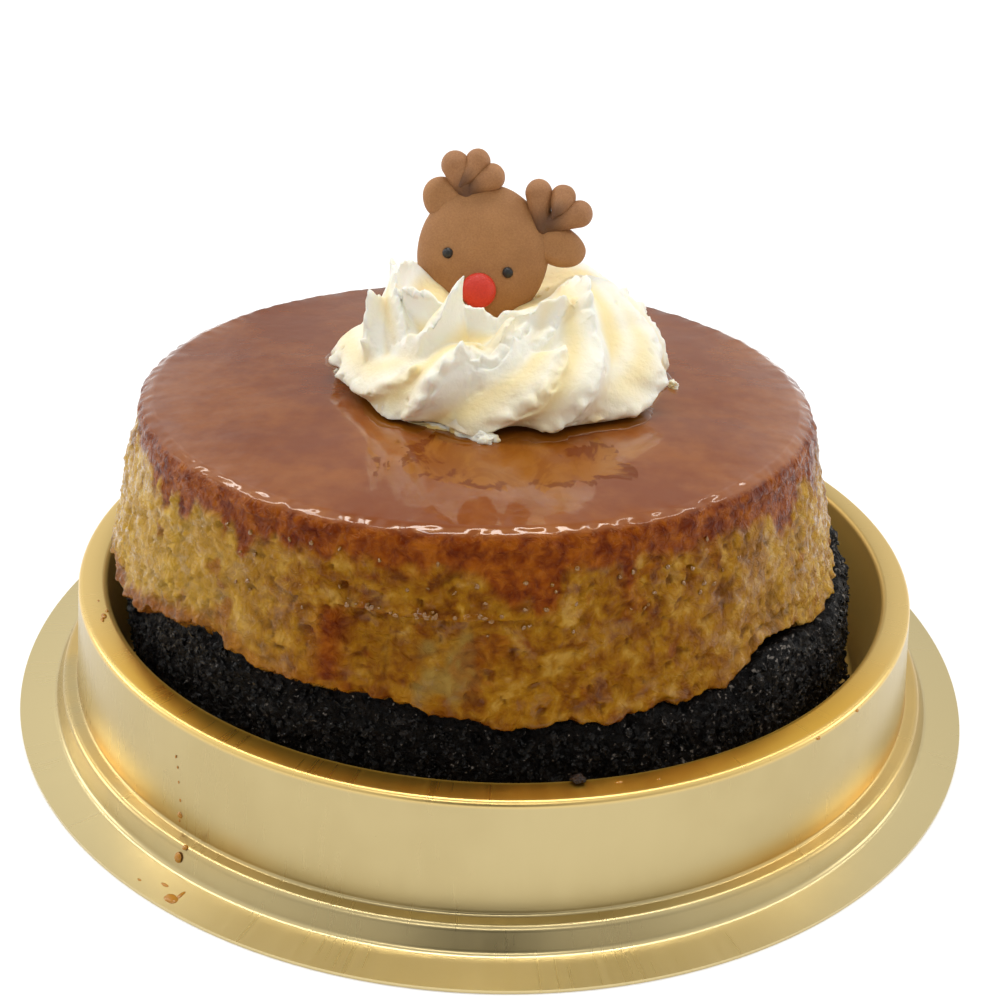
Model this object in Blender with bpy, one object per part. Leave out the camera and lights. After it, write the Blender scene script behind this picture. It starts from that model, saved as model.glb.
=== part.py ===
# Chocoflan: a dark chocolate layer with a layer of flan on top, built together with its round gold tray.
# A piped swirl of cream stands on the flan and holds a small sugar topper, a reindeer head.
# Metres, +Z up, origin on the table under the middle of the tray. The front of the cake faces -Y.

import math

import bmesh
import bpy
from mathutils import Vector, noise

MM = 0.001
GAP = 0.3 * MM                      # clearance between pieces that touch

# Gold tray: thin pressed sheet with a flat flange, a raised ring wall and a sunk floor
TRAY_RADIUS = 100.0 * MM            # outer edge of the flange
TRAY_SHEET = 0.7 * MM
TRAY_FLOOR = 2.0 * MM               # top of the floor that carries the cake
TRAY_HEIGHT = 25.3 * MM             # top of the ring wall
RIM_OUTER = 86.0 * MM
RIM_INNER = 80.6 * MM
WELL_RADIUS = 78.2 * MM             # foot of the inner wall
WALL_FOOT = 88.5 * MM               # foot of the outer wall
LEDGE_RADIUS = 91.2 * MM
LEDGE_HEIGHT = 4.6 * MM
FLANGE_INNER = 93.0 * MM
WELL_FILLET = 1.6 * MM
RIM_INNER_FILLET = 1.1 * MM
RIM_OUTER_FILLET = 1.0 * MM
FOOT_FILLET = 0.6 * MM
LEDGE_FILLET = 1.3 * MM
FLANGE_FILLET = 1.2 * MM
FILLET_STEPS = 2
TRAY_SEGMENTS = 56

# The two baked layers, turned round their own slightly offset axes
CAKE_SEGMENTS = 84
FLAN_AXIS = Vector((-4.7, -2.5)) * MM
CHOCOLATE_AXIS = Vector((-1.3, -1.7)) * MM
CHOCOLATE_RADIUS = 75.0 * MM
CHOCOLATE_ROUGHNESS = 0.7 * MM
CHOCOLATE_SIDE = (                  # share of the height, mm inset
    (0.0, 2.2), (0.07, 0.7), (0.30, 0.2), (0.55, 0.0), (0.78, 0.3), (0.93, 1.3),
)
FLAN_TOP = 62.7 * MM
FLAN_TOP_RADIUS = 66.1 * MM         # where the top edge starts to round over
FLAN_TOP_EDGE = ((0.1, 2.0), (-0.9, 0.7), (-2.9, 0.1), (-6.0, 0.0))    # mm outwards, mm below the top
FLAN_SHOULDER = 2.7 * MM            # depth below the top at which the side has that radius
FLAN_SIDE_TOP = 4.0 * MM            # depth below the top at which the straight side ends
FLAN_SIDE_SHARES = (0.05, 0.22, 0.42, 0.62, 0.82, 1.0)
FLAN_DRAFT = 0.255                  # growth of the radius for each unit down the side
FLAN_LIP = 0.8 * MM                 # how much the lower edge is rounded under
FLAN_LIP_RISE = 0.2 * MM
FLAN_ROUGHNESS = 0.45 * MM
SEAM_HEIGHT = 31.0 * MM             # where the flan meets the chocolate
SEAM_ROUGHNESS = 0.9 * MM
SEAM_SHARES = (0.4, 0.75, 1.0)      # rings of the shared face, as shares of its reach
SEAM_FALL = 3                       # how steeply the edge's rises fade inwards
SEAM_REACH = 69.8 * MM              # radius out to which the two layers lie face to face
SEAM_RISES = ((-127.0, 6.6, 13.0), (-105.0, 3.9, 11.0), (-42.0, 4.6, 7.5))   # degrees, mm, degrees

# Piped cream: one swirl of a star nozzle
CREAM_SEGMENTS = 96
CREAM_RADIUS = 31.5 * MM
CREAM_HEIGHT = 21.2 * MM
CREAM_RIDGES = 8
CREAM_FIRST_RIDGE = math.radians(-103.0)
CREAM_TWIST = math.radians(72.0)    # how far each ridge turns on its way up
CREAM_PROFILE = ((0.92, 0.00), (1.00, 0.09), (1.00, 0.22), (0.95, 0.38), (0.88, 0.55), (0.80, 0.72),
                 (0.71, 0.88), (0.60, 0.98), (0.48, 0.96), (0.35, 0.82), (0.18, 0.72))
CREAM_CENTRE = 0.70                 # height of the middle, as a share of the whole
CREAM_RIDGE_DEPTH = 0.13
CREAM_FOOT_DEPTH = 0.16             # the ridges start this far into their own swell
CREAM_DEPTH_GROWTH = 0.9
CREAM_CREST_LIFT = 0.7              # how much of a ridge's depth also raises its crest
CREAM_UNEVEN = 0.07
CREAM_FRONT_DIP = 0.24              # the crown is lower in front of the topper
CREAM_FRONT = math.radians(-88.0)
CREAM_FRONT_SPREAD = math.radians(34.0)

# Sugar topper, in its own upright plane: across the face, up the face
TOPPER_PLACE = Vector((-4.6, 2.6, 86.5)) * MM
TOPPER_LEAN = math.radians(-14.0)
TOPPER_ROLL = math.radians(15.8)
HEAD_HALF_WIDTH = 12.9 * MM
HEAD_HALF_HEIGHT = 13.3 * MM
HEAD_FRONT = 4.4 * MM
HEAD_BACK = 2.6 * MM
HEAD_FULLNESS = 0.75                # under 1 the disc is plump right up to its edge
PIPED_FULLNESS = 0.8
EAR_DEPTH = 2.6 * MM
EARS = {                            # mm across and up the face, half sizes in mm, turn in degrees
    "left": (-10.2, 7.7, 4.6, 4.0, 25.0),
    "right": (13.3, 6.0, 5.8, 3.9, 4.0),
}
EYE_RADIUS = 1.05 * MM
EYE_PLACES = {"left": (-6.5, -1.7), "right": (5.6, -1.7)}      # mm across and up the face
EYE_BULGE = 0.8                     # depth of an eye for its radius
NOSE_RADIUS = 3.4 * MM
NOSE_BULGE = 0.6
NOSE_PLACE = (1.3, -6.7)
ANTLER_LOBE = 2.4 * MM
ANTLER_TAPER = 0.3                 # each lobe is fatter at its tip than at its root
ANTLER_FORWARD = 1.4 * MM
ANTLER_ROOTS = {"left": (-6.6, 11.2), "right": (9.6, 9.4)}
ANTLER_LOBES = {"left": ((-10.0, 14.2), (-6.8, 15.8), (-2.8, 14.7)),
                "right": ((6.6, 14.4), (11.0, 14.8), (15.6, 13.2))}

# Sizes of the irregular relief, as fractions of a turn or lengths, and the seeds that set each apart
RELIEF = {
    "seam": (0.11, 3.0),
    "seam drift": (0.6, 7.0),
    "chocolate": (4.0 * MM, 11.0),
    "flan": (5.0 * MM, 17.0),
    "cream": (0.5, 23.0),
}

FINISHES = {
    "gold foil": ((0.66, 0.52, 0.26), 0.28, 1.0),
    "chocolate crumb": ((0.018, 0.011, 0.007), 0.85, 0.0),
    "flan": ((0.36, 0.17, 0.045), 0.35, 0.0),
    "cream": ((0.86, 0.82, 0.68), 0.6, 0.0),
    "brown sugar icing": ((0.42, 0.21, 0.085), 0.8, 0.0),
    "dark brown sugar icing": ((0.20, 0.095, 0.036), 0.8, 0.0),
    "red sugar icing": ((0.62, 0.035, 0.018), 0.5, 0.0),
    "black sugar icing": ((0.012, 0.011, 0.010), 0.35, 0.0),
}


def finish(name):
    # Each named finish is made once
    material = bpy.data.materials.get(name)
    if material:
        return material
    colour, roughness, metallic = FINISHES[name]
    material = bpy.data.materials.new(name)
    material.use_nodes = True
    shader = material.node_tree.nodes["Principled BSDF"]
    shader.inputs["Base Color"].default_value = (*colour, 1.0)
    shader.inputs["Roughness"].default_value = roughness
    shader.inputs["Metallic"].default_value = metallic
    return material


def add_object(name, shape, finish_name, smooth_angle=40.0):
    mesh = bpy.data.meshes.new(name)
    shape.to_mesh(mesh)
    shape.free()
    mesh.shade_smooth()
    mesh.set_sharp_from_angle(angle=math.radians(smooth_angle))
    mesh.materials.append(finish(finish_name))
    piece = bpy.data.objects.new(name, mesh)
    bpy.context.collection.objects.link(piece)
    return piece


def make_cutter(piece):
    piece.hide_render = True
    piece.display_type = "WIRE"
    return piece


def cut(piece, cutter):
    step = piece.modifiers.new("cut " + cutter.name, "BOOLEAN")
    step.operation = "DIFFERENCE"
    step.solver = "EXACT"
    step.object = cutter


def ruggedness(place, kind):
    # Smooth irregular value between about -1 and 1, the same on each run
    size, seed = RELIEF[kind]
    return noise.noise(Vector(place) / size + Vector((seed, 0.0, 0.0)))


def bump_at(angle, centre, spread):
    # 1 at the centre, fading to 0 on both sides round the circle
    turn = math.remainder(angle - centre, math.tau)
    return math.exp(-((turn / spread) ** 2))


def filleted(corners):
    # Outline through (radius, height, fillet) corners, each fillet as an arc
    outline = []
    for index, (radius, height, fillet) in enumerate(corners):
        here = Vector((radius, height))
        if fillet == 0.0:
            outline.append(here)
            continue
        before = (Vector(corners[index - 1][:2]) - here).normalized()
        after = (Vector(corners[index + 1][:2]) - here).normalized()
        half = before.angle(after) / 2.0
        centre = here + (before + after).normalized() * fillet / math.sin(half)
        start = here + before * fillet / math.tan(half) - centre
        end = here + after * fillet / math.tan(half) - centre
        for step in range(FILLET_STEPS + 1):
            outline.append(centre + start.slerp(end, step / FILLET_STEPS).normalized() * fillet)
    return outline


def tray_outline():
    # The upper skin of the tray, from the middle of the floor to the edge of the flange
    return filleted((
        (0.0, TRAY_FLOOR, 0.0),
        (WELL_RADIUS, TRAY_FLOOR, WELL_FILLET),
        (RIM_INNER, TRAY_HEIGHT, RIM_INNER_FILLET),
        (RIM_OUTER, TRAY_HEIGHT, RIM_OUTER_FILLET),
        (WALL_FOOT, LEDGE_HEIGHT, FOOT_FILLET),
        (LEDGE_RADIUS, LEDGE_HEIGHT, LEDGE_FILLET),
        (FLANGE_INNER, TRAY_SHEET, FLANGE_FILLET),
        (TRAY_RADIUS, TRAY_SHEET, 0.0),
    ))


def make_tray():
    # The outline is turned round the axis, and the sheet's thickness lies below it
    shape = bmesh.new()
    points = [shape.verts.new((place.x, 0.0, place.y)) for place in tray_outline()]
    edges = [shape.edges.new(pair) for pair in zip(points, points[1:])]
    bmesh.ops.spin(shape, geom=points + edges, cent=(0.0, 0.0, 0.0), axis=(0.0, 0.0, 1.0),
                   angle=math.tau, steps=TRAY_SEGMENTS, use_merge=True, use_normal_flip=False)
    bmesh.ops.remove_doubles(shape, verts=shape.verts, dist=0.01 * MM)
    bmesh.ops.recalc_face_normals(shape, faces=shape.faces)
    shape.normal_update()
    if min(shape.faces, key=lambda face: face.calc_center_median().xy.length).normal.z < 0.0:
        bmesh.ops.reverse_faces(shape, faces=shape.faces)
    tray = add_object("gold_tray", shape, "gold foil")
    sheet = tray.modifiers.new("sheet", "SOLIDIFY")
    sheet.thickness = TRAY_SHEET
    sheet.offset = -1.0
    sheet.use_even_offset = True
    return tray


def loft(name, bottom, rings, top, finish_name):
    # Closed solid through rings of points, from a point below to a point above
    shape = bmesh.new()
    loops = [[shape.verts.new(place) for place in ring] for ring in rings]
    count = len(loops[0])
    low = shape.verts.new(bottom)
    high = shape.verts.new(top)
    for index in range(count):
        after = (index + 1) % count
        shape.faces.new((low, loops[0][after], loops[0][index]))
        shape.faces.new((high, loops[-1][index], loops[-1][after]))
        for lower, upper in zip(loops, loops[1:]):
            # Both layers split a face along the same diagonal, so that their shared faces stay parallel
            if lower[index].co.xy.length < upper[index].co.xy.length:
                shape.faces.new((lower[index], lower[after], upper[after]))
                shape.faces.new((lower[index], upper[after], upper[index]))
            else:
                shape.faces.new((lower[index], lower[after], upper[index]))
                shape.faces.new((lower[after], upper[after], upper[index]))
    return add_object(name, shape, finish_name)


def cake_angles():
    return [math.tau * index / CAKE_SEGMENTS for index in range(CAKE_SEGMENTS)]


def on_cake(angle, radius, height):
    # A place given round the flan's axis, which both layers share so that they fit
    return Vector((FLAN_AXIS.x + radius * math.cos(angle), FLAN_AXIS.y + radius * math.sin(angle), height))


def seam_edge(angle):
    # Height of the ragged line where flan and chocolate meet at the side
    height = SEAM_HEIGHT
    for degrees, rise, spread in SEAM_RISES:
        height += rise * MM * bump_at(angle, math.radians(degrees), math.radians(spread))
    around = (math.cos(angle), math.sin(angle), 0.0)
    return height + SEAM_ROUGHNESS * (ruggedness(around, "seam") + ruggedness(around, "seam drift"))


def seam_rings(lift):
    # The shared face between the layers, from the middle outwards
    rings = []
    for share in SEAM_SHARES:
        ring = []
        for angle in cake_angles():
            height = SEAM_HEIGHT + (seam_edge(angle) - SEAM_HEIGHT) * share ** SEAM_FALL
            ring.append(on_cake(angle, SEAM_REACH * share, height + lift))
        rings.append(ring)
    return rings


def chocolate_edge(angle):
    # Radius of the chocolate layer seen from the flan's axis
    shift = CHOCOLATE_AXIS - FLAN_AXIS
    direction = Vector((math.cos(angle), math.sin(angle)))
    across = shift.x * direction.y - shift.y * direction.x
    return shift.dot(direction) + math.sqrt(CHOCOLATE_RADIUS ** 2 - across ** 2)


def make_chocolate():
    base = TRAY_FLOOR + GAP
    rings = []
    for share, inset in CHOCOLATE_SIDE:
        ring = []
        for angle in cake_angles():
            height = base + (seam_edge(angle) - base) * share
            radius = chocolate_edge(angle) - inset * MM
            if share > 0.0:
                radius += CHOCOLATE_ROUGHNESS * ruggedness(on_cake(angle, radius, height), "chocolate")
            ring.append(on_cake(angle, radius, height))
        rings.append(ring)
    rings += reversed(seam_rings(-GAP))
    bottom = (*FLAN_AXIS, base)
    top = (*FLAN_AXIS, SEAM_HEIGHT - GAP)
    return loft("chocolate_layer", bottom, rings, top, "chocolate crumb")


def flan_radius(height):
    return FLAN_TOP_RADIUS + (FLAN_TOP - FLAN_SHOULDER - height) * FLAN_DRAFT


def flan_side(angle, height):
    # The baked side leans in towards the top and is pitted and rippled
    radius = flan_radius(height)
    return radius + FLAN_ROUGHNESS * ruggedness(on_cake(angle, radius, height), "flan")


def make_flan():
    rings = seam_rings(0.0)
    lip = []
    for angle in cake_angles():
        foot = seam_edge(angle)
        lip.append(on_cake(angle, flan_side(angle, foot) - FLAN_LIP, foot + FLAN_LIP_RISE))
    rings.append(lip)
    for share in FLAN_SIDE_SHARES:
        ring = []
        for angle in cake_angles():
            foot = seam_edge(angle)
            height = foot + (FLAN_TOP - FLAN_SIDE_TOP - foot) * share
            ring.append(on_cake(angle, flan_side(angle, height), height))
        rings.append(ring)
    for outward, below in FLAN_TOP_EDGE:
        rings.append([on_cake(angle, FLAN_TOP_RADIUS + outward * MM, FLAN_TOP - below * MM)
                      for angle in cake_angles()])
    return loft("flan", (*FLAN_AXIS, SEAM_HEIGHT), rings, (*FLAN_AXIS, FLAN_TOP), "flan")


def ridge(phase):
    # Sharp crest and round valley, as a star nozzle leaves them: 1 on the crest, -1 in the valley
    return 1.0 - 2.0 * abs(math.sin(phase / 2.0))


def cream_place(turn, spread, rise, climb):
    # One point of the swirl, at shares of its radius and height; each ridge turns as it climbs
    crest = ridge(CREAM_RIDGES * turn)
    angle = CREAM_FIRST_RIDGE + turn + CREAM_TWIST * climb
    swell = min(1.0, CREAM_FOOT_DEPTH + CREAM_DEPTH_GROWTH * climb)
    depth = CREAM_RIDGE_DEPTH * math.sqrt(math.sin(math.pi * swell))
    dip = 1.0 - CREAM_FRONT_DIP * climb * bump_at(angle, CREAM_FRONT, CREAM_FRONT_SPREAD)
    uneven = 1.0 + CREAM_UNEVEN * ruggedness((math.cos(angle), math.sin(angle), climb), "cream")
    radius = CREAM_RADIUS * spread * (1.0 + depth * crest) * uneven
    height = CREAM_HEIGHT * rise * dip * (1.0 + CREAM_CREST_LIFT * depth * crest * rise) * uneven
    return Vector((radius * math.cos(angle), radius * math.sin(angle), FLAN_TOP + GAP + height))


def make_cream(hollows):
    rings = []
    last = len(CREAM_PROFILE) - 1
    for index, (spread, rise) in enumerate(CREAM_PROFILE):
        rings.append([cream_place(math.tau * step / CREAM_SEGMENTS, spread, rise, index / last)
                      for step in range(CREAM_SEGMENTS)])
    base = FLAN_TOP + GAP
    middle = (0.0, 0.0, base + CREAM_CENTRE * CREAM_HEIGHT)
    cream = loft("whipped_cream", (0.0, 0.0, base), rings, middle, "cream")
    for hollow in hollows:
        cut(cream, hollow)
    return cream


def topper_frame():
    # Upright plane of the topper: local X across the face, local -Y out of the face, local Z up the face
    frame = bpy.data.objects.new("topper_frame", None)
    bpy.context.collection.objects.link(frame)
    frame.location = TOPPER_PLACE
    frame.rotation_mode = "YXZ"
    frame.rotation_euler = (TOPPER_LEAN, TOPPER_ROLL, 0.0)
    return frame


def drop(name, frame, place, half_sizes, finish_name, turn=0.0, grow=0.0, fullness=1.0, back=1.0, taper=0.0,
         sides=14):
    # Piped drop of icing at (across, forward, up) on the topper; a low fullness makes its edge plumper
    across, deep, up = (size + grow for size in half_sizes)
    shape = bmesh.new()
    bmesh.ops.create_uvsphere(shape, u_segments=sides, v_segments=sides * 5 // 8, radius=1.0)
    for vertex in shape.verts:
        x, z, y = vertex.co
        level = math.hypot(x, z)
        plump = level ** (fullness - 1.0) if level > 0.001 else 1.0
        swell = 1.0 + taper * z
        out = deep * (back if y > 0.0 else 1.0)
        vertex.co = (across * x * plump * swell, out * y * swell, up * z * plump)
    bmesh.ops.reverse_faces(shape, faces=shape.faces)       # swapping two axes has mirrored it
    piece = add_object(name, shape, finish_name)
    piece.parent = frame
    piece.location = (place[0], -place[1], place[2])
    piece.rotation_euler = (0.0, turn, 0.0)
    return piece


def with_cutter(name, *details, **more):
    # A drop and a slightly larger copy of it that cuts its seat in the neighbours
    return drop(name, *details, **more), make_cutter(drop(name + "_seat", *details, grow=GAP, **more))


def head_depth(across, up):
    # How far the domed face stands out at a place on it
    level = math.hypot(across / HEAD_HALF_WIDTH, up / HEAD_HALF_HEIGHT) ** (1.0 / HEAD_FULLNESS)
    return HEAD_FRONT * math.sqrt(1.0 - level ** 2)


def make_antler(name, frame, root, lobes, seats):
    # Three piped lobes fused at their foot
    pieces = []
    for number, (across, up) in enumerate(lobes):
        reach = Vector((across - root[0], up - root[1])) * MM
        middle = Vector((across + root[0], up + root[1])) * MM / 2.0
        turn = math.atan2(reach.x, reach.y)
        sizes = (ANTLER_LOBE, ANTLER_LOBE, reach.length / 2.0 + ANTLER_LOBE)
        place = (middle.x, ANTLER_FORWARD, middle.y)
        lobe_name = name if number == 0 else f"{name}_lobe_{number}"
        pieces.append(drop(lobe_name, frame, place, sizes, "dark brown sugar icing", turn,
                           fullness=PIPED_FULLNESS, taper=ANTLER_TAPER, sides=12))
    antler = pieces[0]
    for lobe in pieces[1:]:
        step = antler.modifiers.new("fuse " + lobe.name, "BOOLEAN")
        step.operation = "UNION"
        step.solver = "EXACT"
        step.object = make_cutter(lobe)
    for seat in seats:
        cut(antler, seat)
    return antler


def make_topper():
    # Returns the seats that the topper presses into the cream
    frame = topper_frame()
    head_sizes = (HEAD_HALF_WIDTH, HEAD_FRONT, HEAD_HALF_HEIGHT)
    head, head_seat = with_cutter("topper_head", frame, (0.0, 0.0, 0.0), head_sizes, "brown sugar icing",
                                  fullness=HEAD_FULLNESS, back=HEAD_BACK / HEAD_FRONT, sides=26)
    nose_sizes = (NOSE_RADIUS, NOSE_RADIUS * NOSE_BULGE, NOSE_RADIUS)
    across, up = (value * MM for value in NOSE_PLACE)
    nose, nose_seat = with_cutter("topper_nose", frame, (across, head_depth(across, up), up), nose_sizes,
                                  "red sugar icing", fullness=PIPED_FULLNESS)
    cut(head, nose_seat)
    for side, place in EYE_PLACES.items():
        across, up = (value * MM for value in place)
        eye_sizes = (EYE_RADIUS, EYE_RADIUS * EYE_BULGE, EYE_RADIUS)
        eye, eye_seat = with_cutter(f"topper_eye_{side}", frame, (across, head_depth(across, up), up),
                                    eye_sizes, "black sugar icing", sides=10)
        cut(head, eye_seat)
    seats = [head_seat, nose_seat]
    for side, (across, up, half_long, half_wide, degrees) in EARS.items():
        ear, ear_seat = with_cutter(f"topper_ear_{side}", frame, (across * MM, 0.0, up * MM),
                                    (half_long * MM, EAR_DEPTH, half_wide * MM), "brown sugar icing",
                                    turn=math.radians(degrees), fullness=PIPED_FULLNESS)
        cut(ear, head_seat)
        make_antler(f"topper_antler_{side}", frame, ANTLER_ROOTS[side], ANTLER_LOBES[side],
                    (head_seat, ear_seat))
        seats.append(ear_seat)
    return seats


def main():
    for leftover in list(bpy.data.objects):
        bpy.data.objects.remove(leftover, do_unlink=True)
    make_tray()
    make_chocolate()
    make_flan()
    make_cream(make_topper())


main()
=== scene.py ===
# Chocoflan in its gold tray, dressed for rendering.
# Dictionaries and points are in mm and degrees unless a note says otherwise; Blender and its materials work in metres.

import math

import bmesh
import bpy
import numpy as np
from mathutils import Euler, Matrix, Vector


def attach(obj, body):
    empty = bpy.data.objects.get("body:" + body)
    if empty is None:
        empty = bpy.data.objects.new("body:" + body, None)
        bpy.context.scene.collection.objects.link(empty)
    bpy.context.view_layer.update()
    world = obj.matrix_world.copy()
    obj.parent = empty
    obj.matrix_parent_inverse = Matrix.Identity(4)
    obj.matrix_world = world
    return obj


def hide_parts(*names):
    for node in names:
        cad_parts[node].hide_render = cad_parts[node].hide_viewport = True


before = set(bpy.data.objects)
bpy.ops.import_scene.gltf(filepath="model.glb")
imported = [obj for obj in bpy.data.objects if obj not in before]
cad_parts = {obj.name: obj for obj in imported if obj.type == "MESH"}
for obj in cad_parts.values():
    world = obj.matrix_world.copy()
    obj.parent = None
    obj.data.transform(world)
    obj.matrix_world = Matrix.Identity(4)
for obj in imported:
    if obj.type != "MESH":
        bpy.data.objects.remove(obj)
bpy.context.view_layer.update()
mm = 0.001
rootBody = "root"


# Numbers that vary smoothly or in cells over space, worked out for many points at once

def latticeValue(cells, seed):
    # One repeatable value between -1 and 1 for each whole-numbered cell
    mixed = cells[..., 0] * 374761393 + cells[..., 1] * 668265263 + cells[..., 2] * 2147483647 + seed * 1274126177
    mixed = (mixed ^ (mixed >> 13)) * 1274126177
    mixed = mixed ^ (mixed >> 16)
    return (mixed & 0xFFFF) / 32767.5 - 1.0


def softNoise(points, size, seed):
    # Smooth value noise between about -1 and 1, with bumps as wide as size
    scaled = np.asarray(points, dtype=float) / size
    whole = np.floor(scaled).astype(np.int64)
    part = scaled - whole
    part = part * part * part * (part * (part * 6.0 - 15.0) + 10.0)
    total = np.zeros(scaled.shape[:-1])
    for corner in np.ndindex(2, 2, 2):
        corner = np.array(corner)
        weight = np.prod(np.where(corner == 1, part, 1.0 - part), axis=-1)
        total += weight * latticeValue(whole + corner, seed)
    return total


def layeredNoise(points, size, seed, layers=3):
    # Softer and finer layers of the same noise on top of each other
    total = 0.0
    for layer in range(layers):
        total = total + softNoise(points, size / 2.0 ** layer, seed + 7 * layer) * 0.5 ** layer
    return total


def cellNoise(points, size, seed):
    # Distance to the nearest and next nearest scattered point, and a value that belongs to the nearest one
    scaled = np.asarray(points, dtype=float) / size
    whole = np.floor(scaled).astype(np.int64)
    nearest = np.full(scaled.shape[:-1], 9.0)
    second = np.full(scaled.shape[:-1], 9.0)
    owner = np.zeros(scaled.shape[:-1])
    for offset in np.ndindex(3, 3, 3):
        cell = whole + np.array(offset) - 1
        jitter = np.stack([latticeValue(cell, seed + axis) for axis in range(3)], axis=-1) * 0.45 + 0.5
        distance = np.linalg.norm(cell + jitter - scaled, axis=-1)
        closer = distance < nearest
        second = np.where(closer, nearest, np.minimum(second, distance))
        owner = np.where(closer, latticeValue(cell, seed + 3), owner)
        nearest = np.where(closer, distance, nearest)
    return nearest, second, owner


def warped(points, size, amount, seed):
    # The same points pushed about by soft noise, so that patterns worked out there curl
    shifts = [softNoise(points, size, seed + 5 * axis) for axis in range(3)]
    return points + amount * np.stack(shifts, axis=-1)


def smooth(value, low, high):
    # 0 below low, 1 above high and an even slope between
    share = np.clip((value - low) / (high - low), 0.0, 1.0)
    return share * share * (3.0 - 2.0 * share)


def ringAt(angle, radius, height, axis=(0.0, 0.0)):
    # Points at a radius and height round an upright axis; angle in radians
    x, y = axis[0] + radius * np.cos(angle), axis[1] + radius * np.sin(angle)
    return np.stack(np.broadcast_arrays(x, y, height), axis=-1)


def turns(count):
    # Even angles once round, in radians
    return np.linspace(0.0, math.tau, count, endpoint=False)


def bump(angle, centre, spread):
    # 1 at the centre, fading out on both sides round the circle; angles in degrees
    turn = (angle - centre + 180.0) % 360.0 - 180.0
    return np.exp(-(turn / spread) ** 2)


# Shader maths written as expressions

class Socket:
    def __init__(self, maker, link):
        self.maker = maker
        self.link = link

    def math(self, operation, *others):
        return self.maker.node("ShaderNodeMath", {"operation": operation}, [self, *others])

    def __add__(self, other):
        return self.math("ADD", other)

    __radd__ = __add__

    def __mul__(self, other):
        return self.math("MULTIPLY", other)

    __rmul__ = __mul__

    def __sub__(self, other):
        return self.math("SUBTRACT", other)

    def __rsub__(self, other):
        return self.maker.node("ShaderNodeMath", {"operation": "SUBTRACT"}, [other, self])


class Nodes:
    # One node tree; node() makes any node from its type, its settings and the values or links of its sockets
    def __init__(self, tree):
        self.tree = tree

    def node(self, kind, settings=None, sockets=None, output=0):
        made = self.tree.nodes.new(kind)
        for name, value in (settings or {}).items():
            if name == "stops":
                self.setStops(made.color_ramp, value)
            else:
                setattr(made, name, value)
        named = sockets.items() if isinstance(sockets, dict) else enumerate(sockets or [])
        for name, value in named:
            self.feed(made.inputs[name], value)
        return Socket(self, made.outputs[output])

    def setStops(self, ramp, stops):
        while len(ramp.elements) < len(stops):
            ramp.elements.new(1.0)
        for element, (position, colour) in zip(ramp.elements, stops):
            element.position = position
            element.color = (*colour, 1.0)

    def feed(self, target, value):
        if isinstance(value, Socket):
            self.tree.links.new(value.link, target)
        elif target.type == "RGBA" and len(value) == 3:
            target.default_value = (*value, 1.0)
        else:
            target.default_value = value

    def part(self, vector, axis):
        return self.node("ShaderNodeSeparateXYZ", None, [vector], axis)


class Finish(Nodes):
    # One material with its Principled shader
    def __init__(self, name):
        self.material = bpy.data.materials.new(name)
        self.material.use_nodes = True
        super().__init__(self.material.node_tree)
        self.shader = self.tree.nodes["Principled BSDF"]

    def surface(self, **sockets):
        # Feeds the Principled shader; baseColor means the socket Base Color
        for name, value in sockets.items():
            spaced = "".join(" " + letter if letter.isupper() else letter for letter in name)
            self.feed(self.shader.inputs[(spaced[0].upper() + spaced[1:]).replace("Ior", "IOR")], value)
        return self.material

    def place(self):
        return self.node("ShaderNodeTexCoord", output="Object")

    def ramp(self, value, stops):
        return self.node("ShaderNodeValToRGB", {"stops": stops}, [value])

    def length(self, vector):
        return self.node("ShaderNodeVectorMath", {"operation": "LENGTH"}, [vector], "Value")

    def attribute(self, name):
        return self.node("ShaderNodeAttribute", {"attribute_name": name}, output="Fac")

    def noise(self, vector, size, detail=3.0, roughness=0.55, distortion=0.0):
        return self.node("ShaderNodeTexNoise", None, {"Vector": vector, "Scale": 1.0 / size, "Detail": detail,
                                                      "Roughness": roughness, "Distortion": distortion})

    def between(self, value, low, high):
        # 0 below low and 1 above high
        return self.node("ShaderNodeMapRange", {"interpolation_type": "SMOOTHSTEP"},
                         {"Value": value, "From Min": low, "From Max": high})

    def blend(self, share, first, second, mode="MIX"):
        mix = self.tree.nodes.new("ShaderNodeMix")
        mix.data_type = "RGBA"
        mix.blend_type = mode
        self.feed(mix.inputs["Factor"], share)
        self.feed(mix.inputs[6], first)
        self.feed(mix.inputs[7], second)
        return Socket(self, mix.outputs[2])

    def stretched(self, vector, scale):
        return self.node("ShaderNodeVectorMath", {"operation": "MULTIPLY"}, [vector, scale])

    def bumped(self, height, distance, strength=1.0, normal=None):
        sockets = {"Height": height, "Distance": distance, "Strength": strength}
        if normal:
            sockets["Normal"] = normal
        return self.node("ShaderNodeBump", None, sockets)


# Meshes

def linked(name, data):
    # New object of the scene
    made = bpy.data.objects.new(name, data)
    bpy.context.scene.collection.objects.link(made)
    return made


def meshPiece(name, verts, faces, finish, replaced=(), attributes=None):
    mesh = bpy.data.meshes.new(name)
    mesh.from_pydata(verts.tolist(), [], faces)
    mesh.shade_smooth()
    mesh.materials.append(finish)
    for attributeName, values in (attributes or {}).items():
        layer = mesh.attributes.new(attributeName, "FLOAT", "POINT")
        layer.data.foreach_set("value", values.astype(np.float32))
    return onRoot(linked(name, mesh), replaced)


def onRoot(piece, replaced=()):
    # Every piece rides on the one body of this object
    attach(piece, rootBody)
    if replaced:
        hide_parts(*replaced)
    print("made", piece.name, len(piece.data.polygons), "faces")
    return piece


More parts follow.
